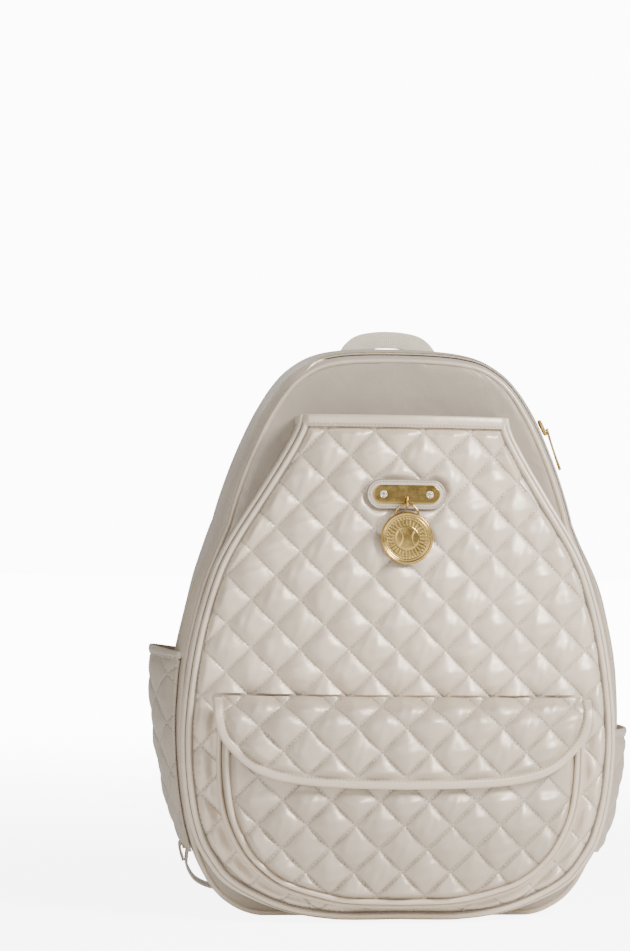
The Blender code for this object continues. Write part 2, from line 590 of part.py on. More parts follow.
# shoulder straps
oriented_box("strap_yoke", (0, 0.0722, 0.398), ((1, 0, 0), (0, 1, 0), (0, 0, 1)),
             (0.070, 0.0014, 0.016), 0.0006, leather)
for label, sx in (("left", -1), ("right", 1)):
    pts = [(sx * 0.038, 0.0800, 0.4080), (sx * 0.044, 0.0850, 0.3850),
           (sx * 0.064, 0.0930, 0.3350), (sx * 0.094, 0.0990, 0.2700),
           (sx * 0.122, 0.1020, 0.1950), (sx * 0.147, 0.1020, 0.1250),
           (sx * 0.1605, 0.1020, 0.0690)]
    ribbon("shoulder_strap_" + label, pts, 20, (STRAP_W, STRAP_W, STRAP_W, 0.050, 0.028),
           (0.0080, 0.0100, 0.0100, 0.0090, 0.0050), (sx, 0, 0), (0, 1, 0), leather, (0.55, 0.95))
    c = np.array([sx * 0.1605, 0.1020, 0.0520])
    half_y, half_z, rad = 0.0155, 0.0145, 0.0050
    loop, dirs = [], []
    for k in range(16):
        a = (k + 0.5) * 2 * math.pi / 16
        sy, sz = (1 if math.cos(a) > 0 else -1), (1 if math.sin(a) > 0 else -1)
        local = a
        loop.append((c[0], c[1] + sy * (half_y - rad) + rad * math.cos(local),
                     c[2] + sz * (half_z - rad) + rad * math.sin(local)))
        dirs.append((0, math.cos(local), math.sin(local)))
    sweep("strap_ring_" + label, loop, dirs, (1, 0, 0), circle(0.0015, 6), True, gold)
    pts = [(sx * 0.1605, 0.1020, 0.0345), (sx * 0.1585, 0.1020, 0.0215),
           (sx * 0.1515, 0.1015, 0.0105), (sx * 0.1400, 0.1003, 0.0046),
           (sx * 0.1270, 0.0995, 0.0032), (sx * 0.1140, 0.0975, 0.0034),
           (sx * 0.1015, 0.0915, 0.0070), (sx * 0.0950, 0.0856, 0.0130)]
    ribbon("strap_webbing_" + label, pts, 18, (0.025, 0.025), (0.0022, 0.0022), (0, 1, 0),
           (sx * -0.9, 0.4, 0), webbing, (0.45, 1.0))
    oriented_box("strap_anchor_" + label, (sx * 0.094, 0.0720, 0.020),
                 ((1, 0, 0), (0, 1, 0), (0, 0, 1)), (0.016, 0.0050, 0.012), 0.0010, leather)
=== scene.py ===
import math

import bpy
import numpy as np
from bpy.props import FloatProperty, FloatVectorProperty, IntProperty, PointerProperty
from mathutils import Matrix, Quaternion, Vector


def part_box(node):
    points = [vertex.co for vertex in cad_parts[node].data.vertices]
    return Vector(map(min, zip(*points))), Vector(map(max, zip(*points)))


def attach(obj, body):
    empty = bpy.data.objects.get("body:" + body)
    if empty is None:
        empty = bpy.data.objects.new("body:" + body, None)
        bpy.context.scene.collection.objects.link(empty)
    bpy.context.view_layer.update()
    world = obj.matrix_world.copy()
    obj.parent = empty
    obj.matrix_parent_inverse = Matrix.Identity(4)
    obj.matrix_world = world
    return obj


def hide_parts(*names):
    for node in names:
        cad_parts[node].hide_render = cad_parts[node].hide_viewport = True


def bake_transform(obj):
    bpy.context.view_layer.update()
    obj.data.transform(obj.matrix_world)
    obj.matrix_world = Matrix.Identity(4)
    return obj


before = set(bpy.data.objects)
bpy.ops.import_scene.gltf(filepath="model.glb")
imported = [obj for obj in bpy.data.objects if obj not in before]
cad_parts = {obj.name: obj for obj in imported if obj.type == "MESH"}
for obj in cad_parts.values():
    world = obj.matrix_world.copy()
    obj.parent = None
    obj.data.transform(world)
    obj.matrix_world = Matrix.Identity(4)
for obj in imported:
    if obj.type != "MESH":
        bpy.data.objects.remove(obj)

bl_info = {
    "name": "Racket Backpack Looks",
    "version": (1, 0, 0),
    "blender": (4, 5, 0),
    "location": "View3D > Sidebar > Backpack",
    "description": "Quilted leather, piping, hardware and straps around the fixed frame",
    "category": "Object",
}

# ---- outlines shared with the CAD, metres --------------------------------------------------------
Y_MAIN_FRONT, Y_MAIN_REAR = -0.040, 0.062
ZIP_Y0, ZIP_Y1 = -0.0300, -0.0220
Y_RACKET, RACKET_DOME, RACKET_TOP = -0.0747, 0.020, 0.387
Y_SMALL, SMALL_DOME, SMALL_TOP = -0.0965, 0.016, 0.153
FLAP_W, FLAP_TOP = 0.288, 0.172
FLAP_AXIS_Y = -0.0975
PLATE_Z, PIN_Z, RING_R, MEDAL_Z, MEDAL_R = 0.328, 0.3205, 0.0090, 0.295, 0.020
ARC_R = 0.360
WALL_FRONT, WALL_REAR = -0.0394, 0.0614
MAIN_PIPING_Y, BACK_PIPING_Y = -0.0405, 0.0625
STRIP_REAR, STRIP_FRONT, SMALL_STRIP_FRONT = -0.0434, -0.0706, -0.0926
LEATHER_THICK = 0.0022
SLIDER_Z = 0.379
POCKET_FOOT, HEM_DROP = 0.050, 0.0054
# side, direction, height of the mouth, how far the mouth stands off the wall
SIDE_POCKETS = (("left", -1, 0.204, 0.0170), ("right", 1, 0.146, 0.0038))
MAIN_LOW = [(0.0, 0.0), (0.060, 0.0), (0.103, 0.0), (0.1255, 0.0073), (0.1422, 0.0220),
            (0.1537, 0.0435), (0.1617, 0.0715), (0.1674, 0.1100), (0.1694, 0.1500),
            (0.1676, 0.1850), (0.1657, 0.2000)]
MAIN_MID = [(0.1657, 0.2000), (0.1618, 0.2200), (0.1528, 0.2560), (0.1412, 0.2860),
            (0.1335, 0.3050)]
MAIN_TOP = [(0.1022, 0.3870), (0.0967, 0.3962), (0.0897, 0.4065), (0.0797, 0.4175),
            (0.0650, 0.4268), (0.0480, 0.4314), (0.0260, 0.4333), (0.0, 0.4338)]
RACKET_HALF = [(0.0, 0.0040), (0.046, 0.0040), (0.080, 0.0090), (0.1055, 0.0182),
               (0.1285, 0.0315), (0.1422, 0.0475), (0.1528, 0.0680), (0.1602, 0.1030),
               (0.1622, 0.1500), (0.1555, 0.2080), (0.1437, 0.2550), (0.1309, 0.2858),
               (0.1045, 0.3285), (0.0872, 0.3570), (0.0775, 0.3760), (0.0750, RACKET_TOP)]
SMALL_HALF = [(0.0, 0.0100), (0.041, 0.0115), (0.069, 0.0173), (0.0945, 0.0265),
              (0.1137, 0.0412), (0.1270, 0.0592), (0.1373, 0.0845), (0.1413, 0.1150),
              (0.1413, SMALL_TOP)]
FLAP_HALF = [(0.1440, 0.1690), (0.1435, 0.1582), (0.1388, 0.1432), (0.1300, 0.1320),
             (0.1188, 0.1220), (0.1045, 0.1148), (0.0810, 0.1098), (0.0460, 0.1074)]


# ---- curve and surface arithmetic ----------------------------------------------------------------
def step(t):
    """Smooth rise from 0 to 1: 3 t squared minus 2 t cubed, held outside."""
    t = np.clip(t, 0, 1)
    return t * t * (3 - 2 * t)


def smooth(points, n):
    """Catmull-Rom curve through the points, n samples spaced evenly by length."""
    p = np.asarray(points, float)
    ext = np.vstack([2 * p[0] - p[1], p, 2 * p[-1] - p[-2]])
    t = np.linspace(0, 1, 24, endpoint=False)[:, None]
    runs = []
    for i in range(1, len(ext) - 2):
        p0, p1, p2, p3 = ext[i - 1:i + 3]
        runs.append(0.5 * (2 * p1 + (p2 - p0) * t + (2 * p0 - 5 * p1 + 4 * p2 - p3) * t ** 2
                           + (3 * p1 - p0 - 3 * p2 + p3) * t ** 3))
    return resample(np.vstack(runs + [ext[-2:-1]]), n)


def resample(pts, n):
    """The same line with n samples evenly spaced by length."""
    length = arc_length(pts)
    s = np.linspace(0, length[-1], n)
    return np.stack([np.interp(s, length, pts[:, k]) for k in range(pts.shape[1])], axis=1)


def arc_length(pts):
    """Length along the line at every point: the running sum of its chords."""
    return np.concatenate([[0], np.cumsum(np.linalg.norm(np.diff(pts, axis=0), axis=1))])


def normals2(path, closed):
    """Sideways direction at each point: the slope turned a quarter turn."""
    p = np.asarray(path, float)
    d = np.roll(p, -1, 0) - np.roll(p, 1, 0) if closed else np.gradient(p, axis=0)
    d /= np.maximum(np.linalg.norm(d, axis=1), 1e-9)[:, None]
    return np.stack([d[:, 1], -d[:, 0]], axis=1)


def lift(path2, y=0.0):
    """Line in (x, z) placed at depth y."""
    return np.stack([path2[:, 0], np.broadcast_to(y, len(path2)) + 0.0, path2[:, 1]], axis=1)


def side_arc(n):
    """The circular stretch of each shoulder, and its centre."""
    a, b = np.array(MAIN_MID[-1]), np.array(MAIN_TOP[0])
    half = np.linalg.norm(b - a) / 2
    along = (b - a) / (2 * half)
    centre = (a + b) / 2 + np.array([-along[1], along[0]]) * math.sqrt(ARC_R ** 2 - half ** 2)
    t = np.linspace(*[math.atan2(p[1] - centre[1], p[0] - centre[0]) for p in (a, b)], n)
    return centre + ARC_R * np.stack([np.cos(t), np.sin(t)], axis=1), centre


ARC, ARC_C = side_arc(40)
LOW_HALF = smooth(MAIN_LOW, 400)
LOW_HALF[:, 1] = np.maximum(LOW_HALF[:, 1], 0)
UP_HALF = resample(np.vstack([smooth(MAIN_MID, 80)[:-1], ARC[:-1], smooth(MAIN_TOP, 120)]), 400)
MAIN_HALF = np.vstack([LOW_HALF, UP_HALF[1:]])
RACKET = smooth(RACKET_HALF, 600)
SMALL = smooth(SMALL_HALF, 400)
FLAP = smooth(FLAP_HALF + [(0.0, 0.1066)], 300)


def both_sides(half):
    """Right half that starts at the bottom centre, made into left top, bottom, right top."""
    left = half[::-1] * np.array([-1, 1])
    return np.vstack([left[:-1], half])


def racket_width(z):
    """Half width of the racket pocket at height z, read off its outline."""
    return np.interp(z, RACKET[30:, 1], RACKET[30:, 0])


def racket_y(x, z):
    """Racket panel's depth: a parabola across, flatter at the foot and mouth."""
    s = np.clip(np.abs(x) / np.maximum(racket_width(z), 1e-4), 0, 1)
    high = 1.0 - 0.45 * step((z - 0.215) / (RACKET_TOP - 0.215))
    return Y_RACKET - RACKET_DOME * (1 - s ** 2) * step((z - 0.004) / 0.110) * high


def small_y(x, z):
    """Small pocket's depth: a parabola across, flatter at the foot."""
    half = np.interp(z, SMALL[40:, 1], SMALL[40:, 0]) - 0.0105
    s = np.clip(np.abs(x) / half, 0, 1)
    return Y_SMALL - SMALL_DOME * (1 - s ** 2) * step((z - 0.016) / 0.075)


def flap_y(x, z):
    """Rear face of the flap: seam row at the top, then over the pocket front."""
    over = small_y(x, np.minimum(z, 0.145)) - 0.0036
    top = FLAP_AXIS_Y + 0.0016 + 0.0078 * (np.abs(x) / (FLAP_W / 2)) ** 2
    t = np.clip((FLAP_TOP - 0.0012 - z) / 0.0145, 0, 1)
    return top + (over - top) * np.sqrt(1 - (1 - t) ** 2)


def bulge(z, y):
    """Side wall's swelling: a parabola from front to back, fading to the foot."""
    mid, half = (Y_MAIN_FRONT + Y_MAIN_REAR) / 2, (Y_MAIN_REAR - Y_MAIN_FRONT) / 2
    return 0.010 * np.clip(1 - ((y - mid) / half) ** 2, 0, 1) * step(z / 0.090)


def edge_distance(x, z, outline):
    """Distance of each point from an outline, by the nearest of its samples."""
    pts = resample(outline, 260)
    flat = np.stack([x.ravel(), z.ravel()], axis=1)
    best = np.full(len(flat), 1.0)
    for block in np.array_split(pts, 8):
        d = np.linalg.norm(flat[:, None, :] - block[None], axis=2).min(axis=1)
        best = np.minimum(best, d)
    return best.reshape(x.shape)


def ripple(a, b, seed):
    """Slow uneven waves between -1 and 1: a fixed sum of sines with unrelated wavelengths."""
    total = 0.0
    for k in range(5):
        p = seed * 1.7 + k * 2.3
        total = total + np.sin(a * (23 + 17 * k) + p + 2.1 * np.sin(b * (11 + 7 * k) + p)) \
            * np.cos(b * (19 + 13 * k) - p) / (1 + 0.6 * k)
    return total / 2.6


def quilt_lay(x, z, phase):
    """Diamond lattice coordinates: whole numbers are the two families of stitch lines."""
    q = bpy.context.scene.bag_quilt
    return x / q.width + z / q.height - phase[0], x / q.width - z / q.height - phase[1]


def quilt_height(u, v, fade):
    """Puffed diamonds: root of the product of two rectified sines, uneven from cell to cell."""
    q = bpy.context.scene.bag_quilt
    puff = (np.sin(np.pi * u) ** 2 + 0.0005) * (np.sin(np.pi * v) ** 2 + 0.0005)
    cell = np.sin(np.floor(u) * 12.9898 + np.floor(v) * 78.233) * 43758.5453
    vary = 0.86 + 0.28 * (cell - np.floor(cell))
    pull = 0.10 * np.sin(u * 9.1 + 3 * np.sin(v * 4.3)) * np.sin(v * 7.7)
    return q.depth * (puff ** 0.26) * (vary + pull) * step(fade / 0.007)


# ---- mesh building -------------------------------------------------------------------------------
def grid_quads(n, m, around_n=False, around_m=False, start=0):
    """Corner indices of the faces of an n by m grid, closed round either way."""
    i = np.arange(n if around_n else n - 1)[:, None]
    j = np.arange(m if around_m else m - 1)[None, :]
    k, q = (i + 1) % n, (j + 1) % m
    return np.stack([i * m + j, i * m + q, k * m + q, k * m + j], axis=-1).reshape(-1, 4) + start


def build(name, verts, quads, mat, uv=None, ngons=(), crease=40.0, flip=None):
    """Mesh object from arrays; faces are turned outwards by the sign of the enclosed volume."""
    if flip is None:
        a, b, c = verts[quads[:, 0]], verts[quads[:, 1]], verts[quads[:, 2]]
        d = verts[quads[:, 3]]
        vol = np.sum(a * np.cross(b, c)) + np.sum(a * np.cross(c, d))
        flip = vol < 0
    if flip:
        quads = quads[:, ::-1]
        ngons = [tuple(reversed(g)) for g in ngons]
    mesh = bpy.data.meshes.new(name)
    mesh.from_pydata(verts.tolist(), [], quads.tolist() + [list(map(int, g)) for g in ngons])
    if uv is not None:
        layer = mesh.uv_layers.new(name="lay")
        index = np.zeros(len(mesh.loops), dtype=np.int32)
        mesh.loops.foreach_get("vertex_index", index)
        layer.data.foreach_set("uv", uv[index].astype(np.float32).ravel())
    mesh.polygons.foreach_set("use_smooth", np.ones(len(mesh.polygons), dtype=bool))
    mesh.set_sharp_from_angle(angle=math.radians(crease))
    mesh.materials.append(mat)
    mesh.update()
    ob = bpy.data.objects.new(name, mesh)
    bpy.context.scene.collection.objects.link(ob)
    return ob


def slab(name, front, back, mat, uv=None, crease=50.0):
    """Closed solid between two grids of points."""
    n, m = front.shape[:2]
    verts = np.concatenate([front.reshape(-1, 3), back.reshape(-1, 3)])
    f = grid_quads(n, m)
    r = grid_quads(n, m, start=n * m)[:, ::-1]
    rim = np.concatenate([np.arange(m), np.arange(1, n) * m + m - 1,
                          (n - 1) * m + np.arange(m - 2, -1, -1), np.arange(n - 2, 0, -1) * m])
    nxt = np.roll(rim, -1)
    side = np.stack([nxt, rim, rim + n * m, nxt + n * m], axis=1)
    both = None if uv is None else np.concatenate([uv.reshape(-1, 2)] * 2)
    return build(name, verts, np.concatenate([f, r, side]), mat, both, crease=crease)


def carry(name, path, axis_a, axis_b, prof, closed, mat, crease=40.0):
    """Closed profile carried along a path: point + a times axis_a + b times axis_b.

    An open path gets a face on each end."""
    path = np.asarray(path, float)
    axis_a = np.broadcast_to(np.asarray(axis_a, float), path.shape)
    axis_b = np.broadcast_to(np.asarray(axis_b, float), path.shape)
    prof = np.asarray(prof, float)
    n = len(path)
    if prof.ndim == 2:
        prof = np.broadcast_to(prof, (n,) + prof.shape)
    m = prof.shape[1]
    pts = path[:, None] + axis_a[:, None] * prof[..., 0:1] + axis_b[:, None] * prof[..., 1:2]
    ends = [] if closed else [tuple(range(m)), tuple((n - 1) * m + j for j in range(m - 1, -1, -1))]
    ring = np.vstack([path, path[:1]]) if closed else path
    s = np.broadcast_to(arc_length(ring)[:n, None], (n, m))
    uv = np.stack([prof[..., 0], s], axis=-1).reshape(-1, 2)
    quads = grid_quads(n, m, closed, True)
    return build(name, pts.reshape(-1, 3), quads, mat, uv, ends, crease)


def both_faces(outer, inner):
    """Closed profile of a strip: along the outer face and back along the inner one."""
    return np.concatenate([outer, inner[:, ::-1]], axis=1)


def circle(r, n):
    """Round profile: radius times the cosine and sine of n even angles."""
    t = np.arange(n) * 2 * math.pi / n
    return np.stack([r * np.cos(t), r * np.sin(t)], axis=1)


def rounded(half_a, half_b, r, n=5):
    """Rounded rectangle profile."""
    out = []
    for ca, cb, t0 in ((1, 1, 0), (-1, 1, 90), (-1, -1, 180), (1, -1, 270)):
        t = np.radians(t0 + np.linspace(0, 90, n))
        out.append(np.stack([ca * (half_a - r) + r * np.cos(t),
                             cb * (half_b - r) + r * np.sin(t)], axis=1))
    return np.concatenate(out)


def lathe_front(name, centre, radii, heights, y0, n, mat, y_back):
    """Disc facing front whose height over y0 is given by heights(r, angle)."""
    t = np.arange(n) * 2 * math.pi / n
    r, a = np.meshgrid(radii, t, indexing="ij")
    h = heights(r, a)
    pts = np.stack([centre[0] + r * np.cos(a), y0 - h, centre[1] + r * np.sin(a)], axis=-1)
    k = len(radii)
    verts = np.concatenate([pts.reshape(-1, 3), np.stack([
        centre[0] + radii[-1] * np.cos(t), np.full(n, y_back),
        centre[1] + radii[-1] * np.sin(t)], axis=1)])
    quads = grid_quads(k + 1, n, False, True)
    ends = [tuple(range(n)), tuple(range(k * n + n - 1, k * n - 1, -1))]
    return build(name, verts, quads, mat, None, ends, 50.0)


def dress(ob, body, slot, *nodes):
    """Piece rides on its body and stands for its CAD nodes, which are hidden; the slot is not used.
    """
    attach(ob, body)
    if nodes:
        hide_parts(*nodes)
    return ob


# ---- shader arithmetic ---------------------------------------------------------------------------
class Sock:
    """A shader socket that takes part in arithmetic."""

    def __init__(self, tree, out):
        self.tree, self.out = tree, out

    def math(self, op, *others, clamp=False):
        node = self.tree.nodes.new("ShaderNodeMath")
        node.operation = op
        node.use_clamp = clamp
        for k, value in enumerate((self,) + others):
            put(self.tree, node.inputs[k], value)
        return Sock(self.tree, node.outputs[0])

    def __add__(self, o):
        return self.math("ADD", o)

    def __sub__(self, o):
        return self.math("SUBTRACT", o)

    def __mul__(self, o):
        return self.math("MULTIPLY", o)

    def __truediv__(self, o):
        return self.math("DIVIDE", o)

    def __rsub__(self, o):
        return self.math("MULTIPLY", -1.0) + o

    __radd__ = __add__
    __rmul__ = __mul__

    def frac(self):
        return self.math("FRACT")

    def sin(self):
        return self.math("SINE")

    def mod(self):
        return self.math("ABSOLUTE")

    def least(self, o):
        return self.math("MINIMUM", o)

    def most(self, o):
        return self.math("MAXIMUM", o)

    def power(self, o):
        return self.math("POWER", o)

    def ramp(self, lo, hi, a=0.0, b=1.0):
        """Smooth step from a at lo to b at hi."""
        node = self.tree.nodes.new("ShaderNodeMapRange")
        node.interpolation_type = "SMOOTHSTEP"
        for k, value in zip(("Value", "From Min", "From Max", "To Min", "To Max"),
                            (self, lo, hi, a, b)):
            put(self.tree, node.inputs[k], value)
        return Sock(self.tree, node.outputs["Result"])


def put(tree, socket, value):
    """Link a wrapped socket, or set a plain value."""
    if isinstance(value, Sock):
        tree.links.new(value.out, socket)
    else:
        socket.default_value = value


class Paint:
    """One Principled material under construction."""

    def __init__(self, name):
        self.mat = bpy.data.materials.new(name)
        self.mat.use_nodes = True
        self.tree = self.mat.node_tree
        self.bsdf = self.tree.nodes["Principled BSDF"]
        pos = self.node("ShaderNodeTexCoord").outputs["Object"]
        self.place = self.vec("SCALE", Sock(self.tree, pos), scale=1000.0)

    def node(self, kind, settings=None, **values):
        node = self.tree.nodes.new(kind)
        for k, v in (settings or {}).items():
            setattr(node, k, v)
        for k, v in values.items():
            put(self.tree, node.inputs[k.replace("_", " ")], v)
        return node

    def vec(self, op, a, b=None, scale=None):
        node = self.tree.nodes.new("ShaderNodeVectorMath")
        node.operation = op
        put(self.tree, node.inputs[0], a)
        if b is not None:
            put(self.tree, node.inputs[1], b)
        if scale is not None:
            put(self.tree, node.inputs["Scale"], scale)
        return Sock(self.tree, node.outputs[0])

    def noise(self, size, detail=2.0, rough=0.5, warp=0.0, place=None):
        """Noise with features about size millimetres across, 0 to 1."""
        node = self.node("ShaderNodeTexNoise", None, Vector=place or self.place,
                         Scale=1.0 / size, Detail=detail, Roughness=rough, Distortion=warp)
        return Sock(self.tree, node.outputs[0])

    def cells(self, size):
        """Distance to the nearest of scattered points: the cells of leather grain."""
        node = self.node("ShaderNodeTexVoronoi", {"feature": "F1"}, Vector=self.place,
                         Scale=1.0 / size)
        return Sock(self.tree, node.outputs["Distance"])

    def lay(self):
        """The piece's own laid-out coordinates."""
        uv = self.node("ShaderNodeUVMap", {"uv_map": "lay"})
        sep = self.node("ShaderNodeSeparateXYZ", None, Vector=Sock(self.tree, uv.outputs[0]))
        return Sock(self.tree, sep.outputs[0]), Sock(self.tree, sep.outputs[1])

    def mix(self, share, a, b):
        node = self.node("ShaderNodeMix", {"data_type": "RGBA"})
        put(self.tree, node.inputs[0], share)
        for socket, value in ((node.inputs[6], a), (node.inputs[7], b)):
            put(self.tree, socket, value if isinstance(value, Sock) else tuple(value) + (1.0,))
        return Sock(self.tree, node.outputs[2])

    def done(self, colour, rough, height=None, metal=0.0, **fixed):
        """Height is in millimetres."""
        put(self.tree, self.bsdf.inputs["Base Color"], colour)
        put(self.tree, self.bsdf.inputs["Roughness"], rough)
        self.bsdf.inputs["Metallic"].default_value = metal
        for k, v in fixed.items():
            self.bsdf.inputs[k.replace("_", " ")].default_value = v
        if height is not None:
            bump = self.node("ShaderNodeBump", None, Height=height, Strength=1.0, Distance=0.001)
            put(self.tree, self.bsdf.inputs["Normal"], Sock(self.tree, bump.outputs[0]))
        return self.mat


def shade(rgb, k):
    """Colour made k times as bright."""
    return tuple(c * k for c in rgb)


def stitch_line(along, across, length, gap_share=0.22, width=0.34):
    """Thread share and puckering of one seam; along and across are in millimetres."""
    near = across.mod().ramp(width * 0.6, width * 1.35, 1.0, 0.0)
    dash = ((along / length).frac() - 0.5).mod().ramp(0.5 - gap_share, 0.5 - gap_share * 0.45,
                                                      1.0, 0.0)
    return near * dash, near * (1.0 - dash)


def leather_base(p, rgb, rough):
    """Satin pearl leather: fine grain, soft creases, slow tone changes."""
    grain = p.cells(0.75) * 0.050 + p.noise(1.6, 3.0) * 0.050
    soft = p.noise(11.0, 2.0) * 0.22
    tone = p.noise(38.0, 3.0).ramp(0.32, 0.70)
    colour = p.mix(tone, shade(rgb, 0.955), shade(rgb, 1.035))
    colour = p.mix(p.cells(0.75).ramp(0.35, 0.75) * 0.16, colour, shade(rgb, 0.72))
    rough_out = p.noise(5.0, 3.0).ramp(0.25, 0.75, rough - 0.05, rough + 0.07)
    return colour, rough_out, grain + soft


LEATHER_METAL = 0.30  # share of pearl in the leather's finish


def leather_finish():
    """Gloss values that every leather shares."""
    s = bpy.context.scene.bag_leather
    return {"Coat_Weight": s.coat, "Coat_Roughness": 0.44, "Sheen_Weight": s.sheen,
            "Sheen_Roughness": 0.4, "Specular_IOR_Level": 0.55}


def paint_quilt(name, tint=1.0):
    """Quilted leather: pinched stitch lines with thread dashes along both lattice families."""
    s, q = bpy.context.scene.bag_leather, bpy.context.scene.bag_quilt
    p = Paint(name)
    # tint scales the one leather colour for this piece: painted shade, making lit and shaded copies
    # of the same leather
    base = shade(s.colour, tint)
    colour, rough, height = leather_base(p, base, s.roughness)
    u, v = p.lay()
    side = q.width * q.height / math.hypot(q.width, q.height) * 1000
    du = ((u + 0.5).frac() - 0.5) * side
    dv = ((v + 0.5).frac() - 0.5) * side
    run = side / q.stitches
    t1, h1 = stitch_line(v * side, du, run)
    t2, h2 = stitch_line(u * side, dv, run)
    near = du.mod().least(dv.mod())
    pinch = near.ramp(0.0, 1.7, -0.55, 0.0)
    pucker = ((v * side / run).frac() - 0.5).mod() * du.mod().ramp(0.3, 3.4, 0.30, 0.0)
    pucker = pucker + ((u * side / run).frac() - 0.5).mod() * dv.mod().ramp(0.3, 3.4, 0.30, 0.0)
    height = height + pinch + pucker + t1.most(t2) * 0.22 - h1.most(h2) * 0.25
    # Painted shade: the colour darkens by up to a fifth within 2.6 mm of the stitch lines, in the
    # valleys between the puffs
    colour = p.mix(near.ramp(0.0, 2.6, 0.20, 0.0), colour, shade(base, 0.66))
    # Painted shade in the needle holes between the thread dashes
    colour = p.mix(h1.most(h2) * 0.45, colour, shade(base, 0.42))
    colour = p.mix(t1.most(t2) * 0.75, colour, s.thread)
    return p.done(colour, rough, height, LEATHER_METAL, **leather_finish())


def paint_leather(name, tint=1.0, seams=(), run=3.2, rgb=None):
    """Plain leather; seams are values of the across coordinate, in mm, that carry stitches."""
    s = bpy.context.scene.bag_leather
    p = Paint(name)
    # tint scales the one leather colour for this piece: painted shade, making lit and shaded copies
    # of the same leather
    rgb = rgb or shade(s.colour, tint)
    colour, rough, height = leather_base(p, rgb, s.roughness)
    height = height + p.noise(26.0, 2.0, warp=0.6) * 0.9
    if seams:
        a, b = p.lay()
        for place in seams:
            thread, hole = stitch_line(b * 1000, a * 1000 - place, run)
            near = (a * 1000 - place).mod()
            height = height + near.ramp(0.0, 1.3, -0.32, 0.0) + thread * 0.20 - hole * 0.18
            # Painted shade in the sewn groove: darker within 1.2 mm of the seam line
            colour = p.mix(near.ramp(0.0, 1.2, 0.25, 0.0), colour, shade(rgb, 0.60))
            # Painted shade in the needle holes between the thread dashes
            colour = p.mix(hole * 0.6, colour, shade(rgb, 0.35))
            colour = p.mix(thread * 0.8, colour, s.thread)
    return p.done(colour, rough, height, LEATHER_METAL, **leather_finish())


def paint_webbing(name, rgb, rib=1.1):
    """Woven tape: two crossing rib waves."""
    p = Paint(name)
    a, b = p.lay()
    warp = (a * (1000 * 2 * math.pi / rib)).sin()
    weft = (b * (1000 * 2 * math.pi / (rib * 1.6)) + (a * (1000 * math.pi / rib)).sin() * 1.2).sin()
    weave = warp * 0.10 + weft * 0.09 + p.noise(0.35, 2.0) * 0.08
    colour = p.mix(p.noise(9.0, 3.0).ramp(0.3, 0.7), shade(rgb, 0.93), shade(rgb, 1.04))
    colour = p.mix((warp * weft).ramp(0.1, 0.9, 0.0, 0.35), colour, shade(rgb, 0.70))
    return p.done(colour, p.noise(2.0).ramp(0.3, 0.7, 0.78, 0.92), weave, Sheen_Weight=0.35,
                  Sheen_Roughness=0.5)


def paint_gold(name, rough=0.24, rgb=(0.50, 0.335, 0.105), scratch=0.006):
    """Polished pale gold with hairlines and slight clouding."""
    p = Paint(name)
    hair = p.noise(0.5, 2.0, place=p.vec("MULTIPLY", p.place, (0.25, 1.0, 3.0)))
    cloud = p.noise(6.0, 3.0)
    colour = p.mix(cloud.ramp(0.3, 0.7), shade(rgb, 0.94), shade(rgb, 1.05))
    return p.done(colour, cloud.ramp(0.25, 0.75, rough - 0.05, rough + 0.08),
                  hair * scratch + cloud * 0.008, 1.0)


def paint_lining(name, rgb):
    """Plain woven lining cloth."""
    p = Paint(name)
    sep = p.node("ShaderNodeSeparateXYZ", None, Vector=p.place)
    x, z = Sock(p.tree, sep.outputs[0]), Sock(p.tree, sep.outputs[2])
    weave = (x * 9.0).sin() * (z * 9.0).sin()
    colour = p.mix(weave.ramp(-0.6, 0.6), shade(rgb, 0.86), shade(rgb, 1.05))
    return p.done(colour, p.noise(3.0).ramp(0.3, 0.7, 0.8, 0.95),
                  weave * 0.05 + p.noise(24.0) * 1.2, Sheen_Weight=0.2)


# ---- settings ------------------------------------------------------------------------------------
class BagLeather(bpy.types.PropertyGroup):
    colour: FloatVectorProperty(name="Colour", description="Linear leather colour", size=3,
                                subtype="COLOR", min=0, max=1, default=(0.640, 0.530, 0.405))
    thread: FloatVectorProperty(name="Thread", description="Linear thread colour", size=3,
                                subtype="COLOR", min=0, max=1, default=(0.58, 0.50, 0.42))
    roughness: FloatProperty(name="Roughness", description="Mean roughness", default=0.45,
                             min=0.1, max=1, subtype="FACTOR")
    coat: FloatProperty(name="Coat", description="Clear finish weight", default=0.20, min=0,
                        max=1, subtype="FACTOR")
    sheen: FloatProperty(name="Sheen", description="Pearl sheen weight", default=0.10, min=0,
                         max=1, subtype="FACTOR")


class BagQuilt(bpy.types.PropertyGroup):
    width: FloatProperty(name="Diamond width", description="Corner to corner across",
                         default=0.0368, unit="LENGTH", min=0.01)
    height: FloatProperty(name="Diamond height", description="Corner to corner upwards",
                          default=0.0368, unit="LENGTH", min=0.01)
    depth: FloatProperty(name="Puff", description="Rise of each diamond", default=0.0060,
                         unit="LENGTH", min=0)
    stitches: IntProperty(name="Stitches", description="Stitches per diamond side", default=8,
                          min=2)


class BagView(bpy.types.PropertyGroup):
    azimuth: FloatProperty(name="Azimuth", description="Camera azimuth, degrees", default=-6.3)
    elevation: FloatProperty(name="Elevation", description="Camera elevation, degrees",
                             default=2.6)
    roll: FloatProperty(name="Roll", description="Camera roll, degrees", default=0.8)
    distance: FloatProperty(name="Distance", description="Camera to front panel", default=2.0,
                            unit="LENGTH", min=0.5)
    ambient: FloatProperty(name="Ambient", description="Strength of the white surroundings",
                           default=0.42, min=0)
    height: FloatProperty(name="View height", description="Height shown at the front panel",
                          default=0.7285, unit="LENGTH", min=0.05)


# ---- pieces --------------------------------------------------------------------------------------
def lean(x, z, y):
    """The filled bag settles a little to its right side, low down and behind the front seam."""
    share = (1 - step((z - 0.240) / 0.070)) * step(z / 0.060)
    behind = step((y + 0.036) / 0.020) * step((0.059 - y) / 0.020)
    return 0.0036 * np.clip(np.abs(x) / 0.10, 0, 1) * share * behind


